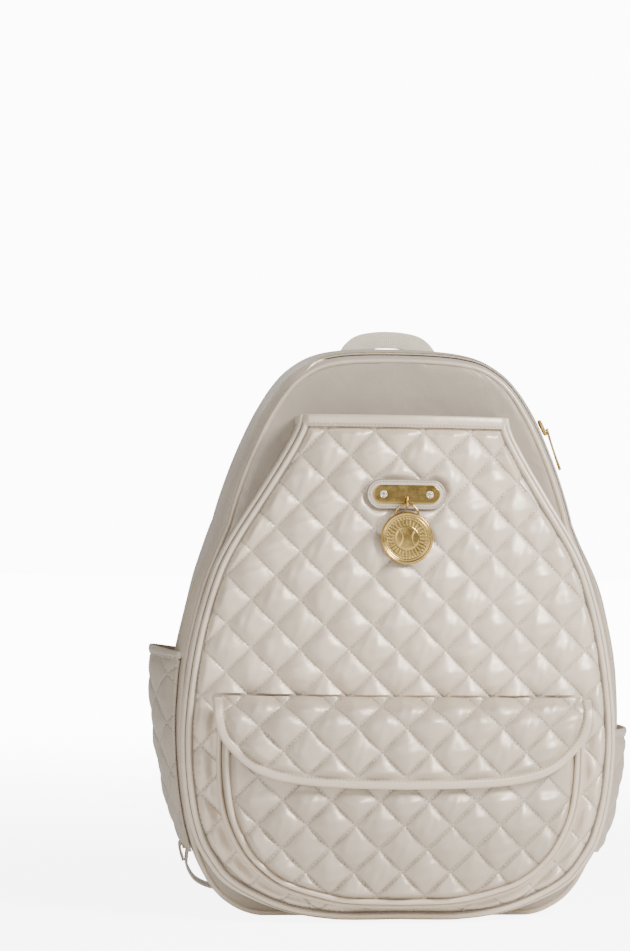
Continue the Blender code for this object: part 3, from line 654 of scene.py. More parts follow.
def gusset_piece(name, path, y0, y1, rows, mat, seed, cover=0.0):
    """Leather wall strip: outline plus swelling plus slow dents, with folded edges.

    With cover, the front edge on the left side reaches forward over the zip as a fold."""
    nrm = normals2(path, False)
    s = arc_length(path)
    share = np.linspace(0, 1, rows)[None, :]
    hide = step((-0.045 - path[:, 0:1]) / 0.030) if cover else np.zeros((len(path), 1))
    start = y0 - cover * hide
    yy = start + (y1 - start) * share
    ss = np.broadcast_to(s[:, None], yy.shape)
    zz = np.broadcast_to(path[:, 1:2], yy.shape)
    inside = step((yy - start) / 0.012) * step((y1 - yy) / 0.012)
    dent = ripple(ss * 0.7, yy * 0.8, seed) * 0.0016 * inside * step(zz / 0.08)
    tuck = -0.0010 * (1 - step((yy - start) / 0.003) * (1 - hide) - hide) \
        - 0.0010 * (1 - step((y1 - yy) / 0.003))
    over = 0.0023 * hide * (1 - step((yy - ZIP_Y1) / 0.006)) * step((yy + 0.0382) / 0.004)
    outer = bulge(zz, yy) + dent + tuck * step(zz / 0.03) + over
    outer = outer + lean(path[:, 0:1], zz, yy) * np.sign(path[:, 0:1])
    prof = both_faces(np.stack([outer, yy], -1),
                      np.stack([outer - LEATHER_THICK + 0.0008 * hide, yy], -1))
    ob = carry(name, lift(path), lift(nrm), (0, 1, 0), prof, False, mat)
    lay_out(ob, np.stack([prof[..., 1], np.broadcast_to(s[:, None], prof.shape[:2])], -1))
    return ob


def outline_piping(name, path2, closed, offset, y, r, mat):
    """Round cord in a leather sleeve with the slight unevenness of hand sewing."""
    nrm = lift(normals2(path2, closed))
    s = arc_length(path2)
    wob = 1 + 0.035 * np.sin(s * 310) * np.sin(s * 97)
    shift = np.stack([np.broadcast_to(offset, s.shape), 0 * s], axis=1)
    prof = circle(r, 14)[None] * wob[:, None, None] + shift[:, None]
    base = lift(path2, y)
    return carry(name, base, nrm, (0, 1, 0), prof, closed, mat)


def filled_panel(name, outline_half, inset, surface, thick, rows, cols, mat, phase=None,
                 z_top=None, x_min=0.02, fade_at=None, round_in=0.0):
    """Panel filling a symmetric outline: x = s times half width, y from surface(x, z)."""
    inner = outline_half - normals2(outline_half, False) * inset
    keep = inner[:, 0] > x_min
    if z_top is not None:
        keep &= inner[:, 1] < z_top
    inner = resample(inner[keep], rows)
    s = np.linspace(-1, 1, cols)
    x = inner[:, 0:1] * s[None]
    z = np.repeat(inner[:, 1:2], cols, axis=1)
    y = surface(x, z)
    fade = edge_distance(x, z, both_sides(inner))
    if z_top is not None:
        fade = np.minimum(fade, np.abs(z_top - z) + 0.0005)
    uv = None
    if phase is not None:
        u, v = quilt_lay(x, z, phase)
        calm = 1.0 if fade_at is None else fade_at(x, z)
        y = y + 0.0010 - quilt_height(u, v, fade) * calm
        uv = np.stack([u, v], axis=-1)
    y = y + round_in * (1 - step(fade / 0.006))
    front = np.stack([x, y, z], axis=-1)
    back = np.stack([x, surface(x, z) + thick, z], axis=-1)
    return slab(name, front, back, mat, uv)


# where the racket pocket's diamonds start, in diamonds across and up
PANEL_PHASE = (0.540, -0.869)


def racket_calm(x, z):
    """Less puff where the small pocket, its flap and the charm patch press on the quilting."""
    d = edge_distance(x, z, both_sides(SMALL))
    inside = (np.abs(x) < np.interp(z, SMALL[60:, 1], SMALL[60:, 0])) & (z < SMALL_TOP)
    pocket = np.where(inside, 0.10, 0.10 + 0.90 * step((d - 0.0012) / 0.0085))
    flap = 1 - 0.9 * (1 - step((z - FLAP_TOP - 0.0008) / 0.0030)) * step((z - 0.108) / 0.006) \
        * (1 - step((np.abs(x) - 0.1430) / 0.0040))
    r = np.hypot(np.maximum(np.abs(x) - 0.01885, 0), z - PLATE_Z) - 0.0115
    return pocket * flap * (0.06 + 0.94 * step((r + 0.0005) / 0.0065))


def small_calm(x, z):
    """Less puff at the top of the small pocket, where the flap lies on it."""
    return 0.42 + 0.58 * step((0.1050 - z) / 0.010)


class BAG_OT_body(bpy.types.Operator):
    """Side wall strips, the front wall and both main pipings"""
    bl_idname = "bag.body"
    bl_label = "Main compartment"

    def execute(self, context):
        # Painted shade: the walls, zip bands and piping are darker copies of the one leather, and
        # the front wall, darkened to 0.52, is painted shade where it lies behind the racket pocket
        wall = paint_leather("leather_wall", 0.76, (-35.0, 56.8))
        band = paint_leather("leather_band", 0.80, (-32.4, -19.2))
        flat = paint_leather("leather_front_wall", 0.52)
        trim = paint_leather("leather_piping", 0.80)
        low = resample(both_sides(LOW_HALF), 340)
        right = UP_HALF
        left = UP_HALF[::-1] * np.array([-1, 1])
        up = resample(np.vstack([right, left[1:]]), 380)
        dress(gusset_piece("wall_lower", low, WALL_FRONT, WALL_REAR, 44, wall, 1.0), "bag",
              "leather", "main_gusset_lower")
        dress(gusset_piece("wall_zip_front", up, WALL_FRONT, ZIP_Y0 + 0.0006, 8, band, 2.0),
              "bag", "leather", "zip_band_front")
        dress(gusset_piece("wall_zip_rear", up, ZIP_Y1 - 0.0006, WALL_REAR, 40, band, 3.0,
                           cover=0.0152), "bag", "leather", "zip_band_rear")
        loop = np.vstack([low[:-1], up[:-1]])
        loop = resample(np.vstack([loop, loop[:1]]), 701)[:-1]
        for name, y in (("main_piping", MAIN_PIPING_Y), ("back_piping", BACK_PIPING_Y)):
            ob = outline_piping(name + "_cord", loop, True, -0.0020, y, 0.0023, trim)
            dress(ob, "bag", "leather_trim", name)

        def front_wall(x, z):
            return -0.0422 + 0.0009 * ripple(x * 0.8, z * 0.6, 5.0)

        ob = filled_panel("front_wall", MAIN_HALF, 0.0022, front_wall, 0.0026, 110, 90, flat,
                          round_in=0.0010)
        dress(ob, "bag", "leather", "main_front_panel")
        return {"FINISHED"}


def racket_strip_section(path):
    """Section of the racket pocket's side strip at every point of its outline.

    Across the strip, from the front wall to the panel, the stand-off runs straight from the
    spread of the rear edge to the front edge, plus half a sine of swelling that comes and goes
    along the seam. The inner face is the same line a leather's thickness further in."""
    t = np.linspace(0, 1, 9)[None]
    rear = 0.0036 + 0.0020 * step(path[:, 1:2] / 0.050)
    swell = 0.0009 * np.sin(np.pi * t) * (0.6 + 0.4 * np.sin(arc_length(path)[:, None] * 60))
    a = rear + (0.0004 - rear) * t + swell
    b = np.broadcast_to(STRIP_REAR + (STRIP_FRONT - STRIP_REAR) * t, a.shape)
    return both_faces(np.stack([a, b], -1), np.stack([a - LEATHER_THICK, b], -1))


class BAG_OT_racket_pocket(bpy.types.Operator):
    """Quilted racket pocket front with its strip, piping and mouth binding"""
    bl_idname = "bag.racket_pocket"
    bl_label = "Racket pocket"

    def execute(self, context):
        quilt = paint_quilt("quilt_racket")
        strip = paint_leather("leather_strip", 0.90)
        trim = paint_leather("leather_piping_front", 1.00)
        bind = paint_leather("leather_mouth", 0.95, (-3.1,), 2.9)
        top = RACKET_TOP - 0.0078
        ob = filled_panel("racket_front", RACKET, 0.0014, racket_y, 0.0030, 228, 190, quilt,
                          PANEL_PHASE, top, 0.040, racket_calm, 0.0022)
        dress(ob, "bag", "quilted_leather", "racket_pocket_panel")
        path = resample(both_sides(RACKET), 300)
        ob = carry("racket_strip", lift(path), lift(normals2(path, False)), (0, 1, 0),
                   racket_strip_section(path), False, strip)
        dress(ob, "bag", "leather", "racket_pocket_gusset")
        ob = outline_piping("racket_piping_cord", path, False, -0.0003, -0.0732, 0.0023, trim)
        dress(ob, "bag", "leather_trim", "racket_pocket_piping")
        stand = 0.0008 + 0.0025 * step(path[:, 1] / 0.040)
        ob = outline_piping("racket_piping_rear", path, False, stand, -0.0690, 0.0024, trim)
        dress(ob, "bag", "leather_trim")
        seam = paint_leather("leather_seam_shadow", 0.30)
        ob = outline_piping("racket_seam", path, False, -0.0029, -0.0741, 0.0007, seam)
        dress(ob, "bag", "leather_trim")
        ob = outline_piping("racket_seam_rear", path, False, 0.0020, -0.0716, 0.0007, seam)
        dress(ob, "bag", "leather_trim")
        x = np.linspace(-0.0735, 0.0735, 110)
        y = racket_y(x, RACKET_TOP - 0.004) + 0.0010
        mid = np.stack([x, y, np.full(110, RACKET_TOP - 0.0034)], axis=1)
        wrap = []
        for sx in (-1, 1):
            t = np.linspace(0.06, 1, 26)
            turn = 0.0030 * np.sin(np.clip(t * 4, 0, 1) * np.pi / 2)
            wrap.append(np.stack([sx * (0.0735 + turn + 0.0028 * t), -0.0737 + 0.0290 * t,
                                  np.full(26, RACKET_TOP - 0.0034)], axis=1))
        mid = np.vstack([wrap[0][::-1], mid, wrap[1]])
        mid = resample(mid, 200)
        out = np.cross(frames(mid), (0, 0, 1))
        t = np.radians(np.linspace(-90, 90, 15))
        dome = np.stack([0.0046 * np.sin(t), 0.0010 + 0.0021 * np.cos(t)], axis=1)
        prof = np.vstack([dome, [(0.0046, -0.0014), (-0.0046, -0.0014)]])
        ob = carry("mouth_edge", mid, (0, 0, 1), out, prof, False, bind)
        dress(ob, "bag", "leather_trim", "mouth_binding")
        return {"FINISHED"}


class BAG_OT_stage(bpy.types.Operator):
    """Pale floor, soft lights and the camera"""
    bl_idname = "bag.stage"
    bl_label = "Stage and camera"

    def execute(self, context):
        v = context.scene.bag_view
        p = Paint("floor_paint")
        seen = Sock(p.tree, p.node("ShaderNodeLightPath").outputs["Is Camera Ray"])
        mat = p.done(p.mix(p.noise(300.0), (0.90, 0.90, 0.90), (0.92, 0.92, 0.92)), 0.7,
                     p.noise(3.0) * 0.02, Emission_Color=(1, 1, 1, 1))
        far = p.noise(900.0) * 60.0 + Sock(p.tree, p.node(
            "ShaderNodeVectorMath", {"operation": "LENGTH"}, Vector=p.place).outputs["Value"])
        glow = seen * far.ramp(350.0, 2200.0, 6.0, 12.5) + 0.25
        put(p.tree, p.bsdf.inputs["Emission Strength"], glow)
        size = 14.0
        verts = np.array([[-size, -size, 0], [size, -size, 0], [size, size, 0],
                          [-size, size, 0]], float)
        floor = build("floor", verts, np.array([[0, 1, 2, 3]]), mat, flip=False)
        world = bpy.data.worlds.new("studio")
        context.scene.world = world
        world.use_nodes = True
        tree = world.node_tree
        back = tree.nodes["Background"]
        back.inputs["Color"].default_value = (1.0, 1.0, 1.0, 1.0)
        path = tree.nodes.new("ShaderNodeLightPath")
        glow = tree.nodes.new("ShaderNodeMapRange")
        glow.inputs["To Min"].default_value = v.ambient
        glow.inputs["To Max"].default_value = 12.0
        tree.links.new(path.outputs["Is Camera Ray"], glow.inputs["Value"])
        tree.links.new(glow.outputs["Result"], back.inputs["Strength"])
        for name, place, target, power, width in (
                ("key", (1.30, -1.20, 1.40), (0, 0, 0.26), 88.0, 0.80),
                ("fill", (-0.9, -2.5, 0.9), (0, 0, 0.3), 24.0, 1.6),
                ("rim", (-0.9, 1.8, 1.5), (0, 0, 0.25), 7.0, 1.2)):
            light = bpy.data.lights.new(name, "AREA")
            light.energy = power
            light.shape = "DISK"
            light.size = width
            ob = bpy.data.objects.new(name, light)
            ob.location = place
            aim = Vector(target) - Vector(place)
            ob.rotation_euler = aim.to_track_quat("-Z", "Y").to_euler()
            context.scene.collection.objects.link(ob)
        a, e = math.radians(v.azimuth), math.radians(v.elevation)
        away = Vector((math.sin(a) * math.cos(e), -math.cos(a) * math.cos(e), math.sin(e)))
        target = Vector((0, Y_RACKET, 0.21))
        cam = bpy.data.cameras.new("camera")
        cam.sensor_width = 36.0
        cam.lens = 36.0 * v.distance / v.height
        cam.shift_x = -0.0915
        cam.shift_y = 0.1824
        ob = bpy.data.objects.new("camera", cam)
        ob.location = target + away * v.distance
        turn = (-away).to_track_quat("-Z", "Y") @ Quaternion((0, 0, 1), math.radians(v.roll))
        ob.rotation_euler = turn.to_euler()
        context.scene.collection.objects.link(ob)
        context.scene.camera = ob
        return {"FINISHED"}


def beside(path, nrm, offset):
    """Depth of the racket panel at each point of an outline moved sideways by the offset."""
    return racket_y(path[:, 0:1] + nrm[:, 0:1] * offset, path[:, 1:2] + nrm[:, 1:2] * offset)


def small_strip_face(path, nrm, rear, front):
    """One face of the small pocket's side strip at every point of its outline.

    Sideways it runs straight from the rear offset to the front one, plus half a sine of
    swelling that comes and goes along the seam; forwards it runs from the racket panel."""
    t = np.linspace(0, 1, 8)[None]
    y = beside(path, nrm, rear) - 0.0007
    swell = 0.0010 * np.sin(np.pi * t) * (0.7 + 0.3 * np.sin(arc_length(path)[:, None] * 75))
    return np.stack([rear + (front - rear) * t + swell, y + (SMALL_STRIP_FRONT - y) * t], -1)


class BAG_OT_small_pocket(bpy.types.Operator):
    """Small quilted pocket: plain strip between two pipings, hem and puffed front"""
    bl_idname = "bag.small_pocket"
    bl_label = "Small pocket"

    def execute(self, context):
        # Painted shade: the small pocket's quilt is darkened to 0.77, darker low on the bag
        quilt = paint_quilt("quilt_small", 0.77)
        strip = paint_leather("leather_small_strip", 0.84)
        trim = paint_leather("leather_small_piping", 0.98)
        hem = paint_leather("leather_small_hem", 0.95, (-2.4, 2.4))
        ob = filled_panel("small_front", SMALL, 0.0082, small_y, 0.0030, 130, 170, quilt,
                          (0.10, -0.13), SMALL_TOP - 0.0092, 0.034, small_calm, 0.0022)
        dress(ob, "bag", "quilted_leather", "small_pocket_panel")
        path = resample(both_sides(SMALL), 260)
        nrm = normals2(path, False)
        prof = both_faces(small_strip_face(path, nrm, -0.0044, -0.0070),
                          small_strip_face(path, nrm, -0.0066, -0.0092))
        ob = carry("small_strip", lift(path), lift(nrm), (0, 1, 0), prof, False, strip)
        dress(ob, "bag", "leather", "small_pocket_gusset")
        under = beside(path, nrm, np.array([[-0.0045, -0.0020, 0.0]])).min(axis=1)
        cord = circle(0.0020, 14)
        for label, offset, y in (("outer", -0.0020, under - 0.0022),
                                 ("inner", -0.0077, np.full(len(path), -0.0950))):
            section = cord[None] + np.stack([np.full(len(path), offset), y], 1)[:, None]
            ob = carry("small_piping_" + label, lift(path), lift(nrm), (0, 1, 0), section, False,
                       trim)
            dress(ob, "bag", "leather_trim", "small_pocket_piping_" + label)
        x = np.linspace(-0.1262, 0.1262, 80)
        mid = np.stack([x, small_y(x, SMALL_TOP - 0.009) + 0.0013,
                        np.full(80, SMALL_TOP - 0.0045)], axis=1)
        ob = carry("small_hem", mid, (0, 0, 1), (0, 1, 0), rounded(0.0043, 0.0017, 0.0012),
                   False, hem)
        dress(ob, "bag", "leather_trim", "small_pocket_hem")
        return {"FINISHED"}


def flap_edge(n, inset):
    """Right half of the flap's free edge from the hinge row to the bottom centre."""
    pts = FLAP.copy()
    pts = np.vstack([[FLAP[0, 0], FLAP_TOP + 0.0022], pts])
    nrm = -normals2(pts, False)
    return resample(pts - nrm * inset, n)


class BAG_OT_flap(bpy.types.Operator):
    """Quilted flap with its rolled edge, lying over the small pocket"""
    bl_idname = "bag.flap"
    bl_label = "Flap"

    def execute(self, context):
        # Painted shade: the flap's quilt is darkened to 0.85, darker low on the bag
        quilt = paint_quilt("quilt_flap", 0.85)
        bind = paint_leather("leather_flap_edge", 0.97, (-2.9,), 3.0)
        edge = flap_edge(150, 0.0058)
        edge = edge[edge[:, 0] > 0.036]
        edge = resample(edge, 74)[::-1]
        rows_x, rows_z = edge[:, 0], edge[:, 1]
        s = np.linspace(-1, 1, 190)
        x = rows_x[:, None] * s[None]
        z = np.repeat(rows_z[:, None], 190, axis=1)
        fade = np.minimum(edge_distance(x, z, both_sides(edge)),
                          np.abs(rows_z[0] - z) + 0.0005)
        top = step((FLAP_TOP + 0.0024 - z) / 0.0035)
        along = z + 0.004 * (1 - step((FLAP_TOP + 0.002 - z) / 0.016))
        u, v = quilt_lay(x, along, (0.12, -0.15))
        y0 = flap_y(x, z)
        puff = quilt_height(u, v, fade) * (0.35 + 0.65 * top)
        up = 0.32 * puff * (1 - step((FLAP_TOP - z) / 0.013))
        front = np.stack([x, y0 - 0.0018 - puff, z + up], axis=-1)
        back = np.stack([x, y0, z], axis=-1)
        ob = slab("flap_front", front, back, quilt, np.stack([u, v], axis=-1))
        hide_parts("flap_panel")
        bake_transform(ob)
        half = flap_edge(150, 0.0031)
        half[:, 1] = np.minimum(half[:, 1], FLAP_TOP + 0.0010)
        path = np.vstack([half * np.array([-1, 1]), half[::-1][1:]])
        path = resample(path, 260)
        y = flap_y(path[:, 0], path[:, 1]) - 0.0016
        mid = lift(path, y)
        prof = rounded(0.0037, 0.0027, 0.0024)
        ob = carry("flap_edge", mid, lift(normals2(path, False)), (0, 1, 0), prof, False, bind)
        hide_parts("flap_binding")
        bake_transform(ob)
        for name, body in (("snap_socket", "bag"), ("snap_stud", "flap")):
            low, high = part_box(name)
            y0, y1 = (high.y, low.y) if body == "bag" else (low.y, high.y)
            way = 1 if y1 < y0 else -1
            ob = snap_disc(name + "_turned", (0.0, 0.1205), y0, y1, way)
            dress(ob, body, "pale_gold", name)
        return {"FINISHED"}


def snap_disc(name, centre, y0, y1, way):
    """Turned snap half: raised rim and a dished middle."""
    def rise(r, a):
        return way * abs(y1 - y0) * (0.45 + 0.55 * step((r - 0.0018) / 0.0008)
                                     * (1 - 0.6 * step((r - 0.0040) / 0.0010)))
    mat = paint_gold(name + "_gold", 0.25)
    return lathe_front(name, centre, np.linspace(0.0004, 0.0050, 16), rise, y0, 40, mat, y0)


def stadium(half_long, half_tall, n):
    """Stadium outline, anticlockwise from the right end."""
    t = np.arange(n) * 2 * math.pi / n
    side = np.where(np.cos(t) >= 0, 1, -1) * (half_long - half_tall)
    return np.stack([half_tall * np.cos(t) + side, half_tall * np.sin(t)], axis=1)


def stadium_plate(name, half_long, half_tall, y_back, y_front, edge, mat, n=96, dome=0.0):
    """Plate with a rounded front edge, built as rings shrinking to the middle line."""
    rings, ys = [], []
    for t in np.linspace(0, 90, 7):
        inset = edge * (1 - math.cos(math.radians(t)))
        rings.append(stadium(half_long - inset, half_tall - inset, n))
        ys.append(y_front + edge * (1 - math.sin(math.radians(t))))
    for share in (0.75, 0.5, 0.25, 0.04):
        tall = (half_tall - edge) * share
        rings.append(stadium(half_long - half_tall + tall, tall, n))
        ys.append(y_front - dome * (1 - share ** 2))
    rings.insert(0, stadium(half_long, half_tall, n))
    ys.insert(0, y_back)
    k = len(rings)
    pts = np.stack([lift(r + np.array([0, PLATE_Z]), y) for r, y in zip(rings, ys)])
    uv = np.repeat(np.array(rings)[..., :1], 2, axis=-1).reshape(-1, 2)
    ends = [tuple(range(n)), tuple(range(k * n - 1, (k - 1) * n - 1, -1))]
    return build(name, pts.reshape(-1, 3), grid_quads(k, n, False, True), mat, uv, ends, 45.0)


class BAG_OT_charm(bpy.types.Operator):
    """Leather patch, gold plate with two studs, staple, ring and hanging medallion"""
    bl_idname = "bag.charm"
    bl_label = "Charm"

    def execute(self, context):
        gold = paint_gold("gold_plate", 0.17)
        fine = paint_gold("gold_wire", 0.15)
        low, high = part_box("charm_patch")
        p = Paint("leather_patch")
        s = context.scene.bag_leather
        rgb = shade(s.colour, 0.93)
        colour, rough, height = leather_base(p, rgb, s.roughness)
        sep = p.node("ShaderNodeSeparateXYZ", None, Vector=p.place)
        x, z = Sock(p.tree, sep.outputs[0]), Sock(p.tree, sep.outputs[2]) - PLATE_Z * 1000
        over = (x.mod() - 18.85).most(0.0)
        ring = (over * over + z * z).power(0.5)
        thread, hole = stitch_line(x + z * 0.8, ring - 9.4, 2.6)
        # Painted shade in the sewn groove round the patch
        colour = p.mix((ring - 9.4).mod().ramp(0.2, 1.0, 0.5, 0.0), colour, shade(rgb, 0.55))
        # Painted shade in the needle holes
        colour = p.mix(hole * 0.9, colour, shade(rgb, 0.25))
        height = height + thread * 0.2 - hole * 0.2 - (ring - 9.4).mod().ramp(0.0, 1.0, 0.3, 0.0)
        # Painted shadow along the patch's outer edge: a dark band round 11.1 mm
        rim = (ring - 11.1).mod().ramp(0.2, 1.0, 0.90, 0.0)
        colour = p.mix(rim, colour, shade(rgb, 0.34))
        mat = p.done(colour, rough, height, LEATHER_METAL, **leather_finish())
        ob = stadium_plate("patch", 0.03035, 0.0115, high.y, low.y - 0.0004, 0.0012, mat, dome=0.0)
        dress(ob, "bag", "leather_trim", "charm_patch")
        low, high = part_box("charm_plate")
        ob = stadium_plate("plate", 0.0255, 0.0072, high.y, low.y, 0.0006, gold)
        dress(ob, "bag", "pale_gold", "charm_plate")
        for side, sx in (("left", -1), ("right", 1)):
            low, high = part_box("rivet_" + side)

            def stone(r, a):
                facet = np.abs(np.cos(a * 4)) * 0.00018
                table = 0.0020 * (1 - step((r - 0.0010) / 0.0012) * 0.5)
                return np.where(r < 0.0021, table - facet * (r > 0.0009),
                                0.0004 + 0.0008 * np.sin(np.clip((r - 0.0021) / 0.0009, 0, 1)
                                                         * np.pi))
            radii = np.linspace(0.0002, 0.0030, 22)
            ob = lathe_front("stud_" + side, (sx * 0.0176, PLATE_Z), radii, stone, high.y, 48,
                             paint_gold("stud_metal_" + side, 0.10, (0.92, 0.88, 0.80)), high.y)
            dress(ob, "bag", "pale_gold", "rivet_" + side)
        low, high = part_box("charm_staple")
        y_ring = float(sum(c.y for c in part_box("charm_ring")) / 2)
        pts = smooth([(0, high.y - 0.0002, PIN_Z + 0.0055), (0, y_ring - 0.0016, PIN_Z + 0.0052),
                      (0, y_ring - 0.0026, PIN_Z + 0.0018), (0, y_ring - 0.0016, PIN_Z - 0.0018),
                      (0, high.y - 0.0002, PIN_Z - 0.0022)], 40)
        tan = np.gradient(pts, axis=0)
        tan /= np.linalg.norm(tan, axis=1)[:, None]
        ob = carry("staple", pts, (1, 0, 0), np.cross(tan, (1, 0, 0)), circle(0.00095, 12), False,
                   fine)
        dress(ob, "bag", "pale_gold", "charm_staple")
        t = np.arange(90) * 2 * math.pi / 90
        way = np.stack([np.cos(t), 0 * t, np.sin(t)], axis=1)
        ob = carry("ring", np.array([0, y_ring, PIN_Z - RING_R]) + RING_R * way, way, (0, 1, 0),
                   circle(0.00085, 12), True, fine)
        dress(ob, "charm_ring", "pale_gold", "charm_ring")
        t = np.arange(40) * 2 * math.pi / 40
        way = np.stack([0 * t, np.cos(t), np.sin(t)], axis=1)
        ob = carry("lug", np.array([0, y_ring, PIN_Z - 2 * RING_R]) + 0.0020 * way, way,
                   (1, 0, 0), circle(0.00065, 10), True, fine)
        dress(ob, "medallion", "pale_gold", "charm_lug")
        low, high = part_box("charm_medallion")
        thick = high.y - low.y

        def face(r, a):
            rim = 0.00075 * np.exp(-((r - 0.0186) / 0.0008) ** 2)
            line = 0.00030 * np.exp(-((r - 0.0166) / 0.00030) ** 2)
            beads = 0.00026 * np.exp(-((r - 0.0149) / 0.00055) ** 2) \
                * np.clip(np.cos(a * 40), 0, 1)
            x, z = r * np.cos(a), r * np.sin(a)
            ball = np.hypot(x, z)
            globe = 0.00040 * np.sqrt(np.clip(1 - (ball / 0.0088) ** 2, 0, 1)) \
                + 0.0002 * (ball < 0.0090)
            seam = 0.0
            for sx in (-1, 1):
                d = np.abs(np.hypot(x - sx * 0.0118, z) - 0.0082)
                seam = seam + 0.00016 * np.exp(-(d / 0.00035) ** 2) * (ball < 0.0088)
            rays = 0.00012 * np.clip(np.cos(a * 28), 0, 1) \
                * step((r - 0.0096) / 0.0005) * (1 - step((r - 0.0132) / 0.0006))
            roll = -0.0009 * step((r - 0.0192) / 0.0008) ** 2
            return thick - 0.0009 + rim + line + beads + globe - seam + rays + roll
        ob = lathe_front("medallion", (0, MEDAL_Z), np.linspace(0.0002, MEDAL_R, 90), face,
                         high.y, 240, paint_gold("gold_medallion", 0.22, scratch=0.010), high.y)
        dress(ob, "medallion", "pale_gold", "charm_medallion")
        return {"FINISHED"}


def frames(pts):
    """Unit direction along the line at every point."""
    tan = np.gradient(pts, axis=0)
    return tan / np.linalg.norm(tan, axis=1)[:, None]


def boxes(name, centres, axes, half, mat):
    """Many small chamfered blocks as one mesh: centres (n,3), axes three (n,3) arrays."""
    a, b, c = half
    k = 0.28
    section = np.array([(a * (1 - k), -b), (a, -b * (1 - k)), (a, b * (1 - k)),
                        (a * (1 - k), b), (-a * (1 - k), b), (-a, b * (1 - k)),
                        (-a, -b * (1 - k)), (-a * (1 - k), -b)])
    corner = np.concatenate([np.column_stack([section, np.full(8, -c)]),
                             np.column_stack([section, np.full(8, c)])])
    pts = centres[:, None] + sum(axes[i][:, None] * corner[None, :, i:i + 1] for i in range(3))
    n = len(centres)
    j = np.arange(8)
    wall = np.stack([j, (j + 1) % 8, (j + 1) % 8 + 8, j + 8], axis=1)
    caps = np.array([[0, 3, 2, 1], [0, 7, 4, 3], [7, 6, 5, 4], [8, 9, 10, 11], [8, 11, 12, 15],
                     [15, 12, 13, 14]])
    one = np.concatenate([wall, caps])
    quads = (one[None] + np.arange(n)[:, None, None] * 16).reshape(-1, 4)
    return build(name, pts.reshape(-1, 3), quads, mat, crease=30.0)


class BAG_OT_zip(bpy.types.Operator):
    """Zip tape with interlocking teeth, slider and long pull"""
    bl_idname = "bag.zip"
    bl_label = "Zip"

    def execute(self, context):
        tape = paint_webbing("zip_tape", (0.50, 0.44, 0.37), 0.5)
        teeth = paint_gold("zip_teeth", 0.28)
        shiny = paint_gold("zip_slider_gold", 0.18)
        half = UP_HALF
        path = resample(np.vstack([half, half[::-1][1:] * np.array([-1, 1])]), 430)
        nrm = lift(normals2(path, False))
        y = (ZIP_Y0 + ZIP_Y1) / 2
        o = bulge(path[:, 1], ZIP_Y0 + 0.004)
        base = lift(path, y) + nrm * (o - 0.0004)[:, None]
        ob = carry("tape", base, nrm, (0, 1, 0), rounded(0.0006, 0.0039, 0.0004, 3), False, tape)
        dress(ob, "bag", "pale_gold", "zip_chain")
        dense = resample(base, 900)[4:-4]
        tan = frames(dense)
        side = np.where(np.arange(len(dense)) % 2 == 0, 1.0, -1.0)[:, None]
        axis_y = np.broadcast_to(np.array([0.0, 1.0, 0.0]), dense.shape)
        out = np.cross(tan, axis_y)
        flip = np.sign(np.sum(out * (dense - np.array([0, 0, 0.2])), axis=1))[:, None]
        out = out * flip
        ob = boxes("teeth", dense + out * 0.0008 + axis_y * side * 0.0009,
                   (axis_y, out, tan), (0.0016, 0.0005, 0.00042), teeth)
        dress(ob, "bag", "pale_gold")
        ang = math.asin((SLIDER_Z - ARC_C[1]) / ARC_R)
        u = np.array([math.cos(ang), 0, math.sin(ang)])
        t = np.array([math.sin(ang), 0, -math.cos(ang)])
        yv = np.array([0.0, 1.0, 0.0])
        lift_off = ARC_R + float(bulge(SLIDER_Z, ZIP_Y0 + 0.004)) + 0.0036
        mid = np.array([ARC_C[0], y, ARC_C[1]]) + u * lift_off
        s = np.linspace(-1, 1, 40)
        wide = 0.0030 + 0.0014 * step((0.3 - s) / 0.9)
        tall = 0.0015 * np.sqrt(np.clip(1 - (np.abs(s) ** 5), 0.02, 1))
        ring = circle(1.0, 20)
        sq = np.sign(ring) * np.abs(ring) ** 0.55
        prof = np.stack([sq[None, :, 0] * wide[:, None], sq[None, :, 1] * tall[:, None]], -1)
        ob = carry("slider", mid + t * s[:, None] * 0.0068, yv, u, prof, False, shiny)
        dress(ob, "zip_slider", "pale_gold", "zip_slider")
        top = mid + u * 0.0032 + t * 0.0020
        s = np.linspace(0, 1, 60)
        wide = 0.0017 + 0.0009 * step((s - 0.25) / 0.6) - 0.0012 * step((s - 0.965) / 0.035)
        wide = wide - 0.0006 * (1 - step(s / 0.05))
        prof = np.stack([sq[None, :, 0] * wide[:, None],
                         sq[None, :, 1] * (0.0011 - 0.0003 * np.sin(np.pi * s))[:, None]], -1)
        hang = top + t * s[:, None] * 0.034 - u * (0.0046 * s ** 0.8)[:, None]
        ob = carry("pull", hang, yv, u, prof, False, shiny)
        dress(ob, "zip_pull", "pale_gold", "zip_pull")
        return {"FINISHED"}


def lay_out(ob, flat):
    """Replace the piece's laid-out coordinates, one pair per vertex."""
    index = np.zeros(len(ob.data.loops), dtype=np.int32)
    ob.data.loops.foreach_get("vertex_index", index)
    layer = ob.data.uv_layers["lay"].data
    layer.foreach_set("uv", flat.reshape(-1, 2)[index].astype(np.float32).ravel())


def wall_point(sx, z, y, off):
    """Point standing off the side wall of the bag."""
    nrm = normals2(MAIN_HALF, False)
    x0 = np.interp(z, MAIN_HALF[80:, 1], MAIN_HALF[80:, 0])
    nx = np.interp(z, MAIN_HALF[80:, 1], nrm[80:, 0])
    nz = np.interp(z, MAIN_HALF[80:, 1], nrm[80:, 1])
    o = bulge(z, y) + off + lean(sx * x0, z, y) * sx
    return np.stack([sx * (x0 + nx * o), y + 0 * x0, z + nz * o], axis=-1)


def pocket_grid(z0, z1, mouth, flare, rows, cols):
    """Side pocket: flat at its sewn edges, swelling out towards the mouth."""
    v = np.linspace(-1, 1, cols)
    vv, zz = np.meshgrid(v, np.linspace(z0, z1, rows))
    share = np.clip((zz - 0.050) / (mouth - 0.050), 0, 1)
    swell = 0.0010 + (flare - 0.0010) * share ** 1.4
    return vv, zz, 0.0065 + vv * 0.0430, 0.0009 + swell * (1 - np.abs(vv) ** 2.6)


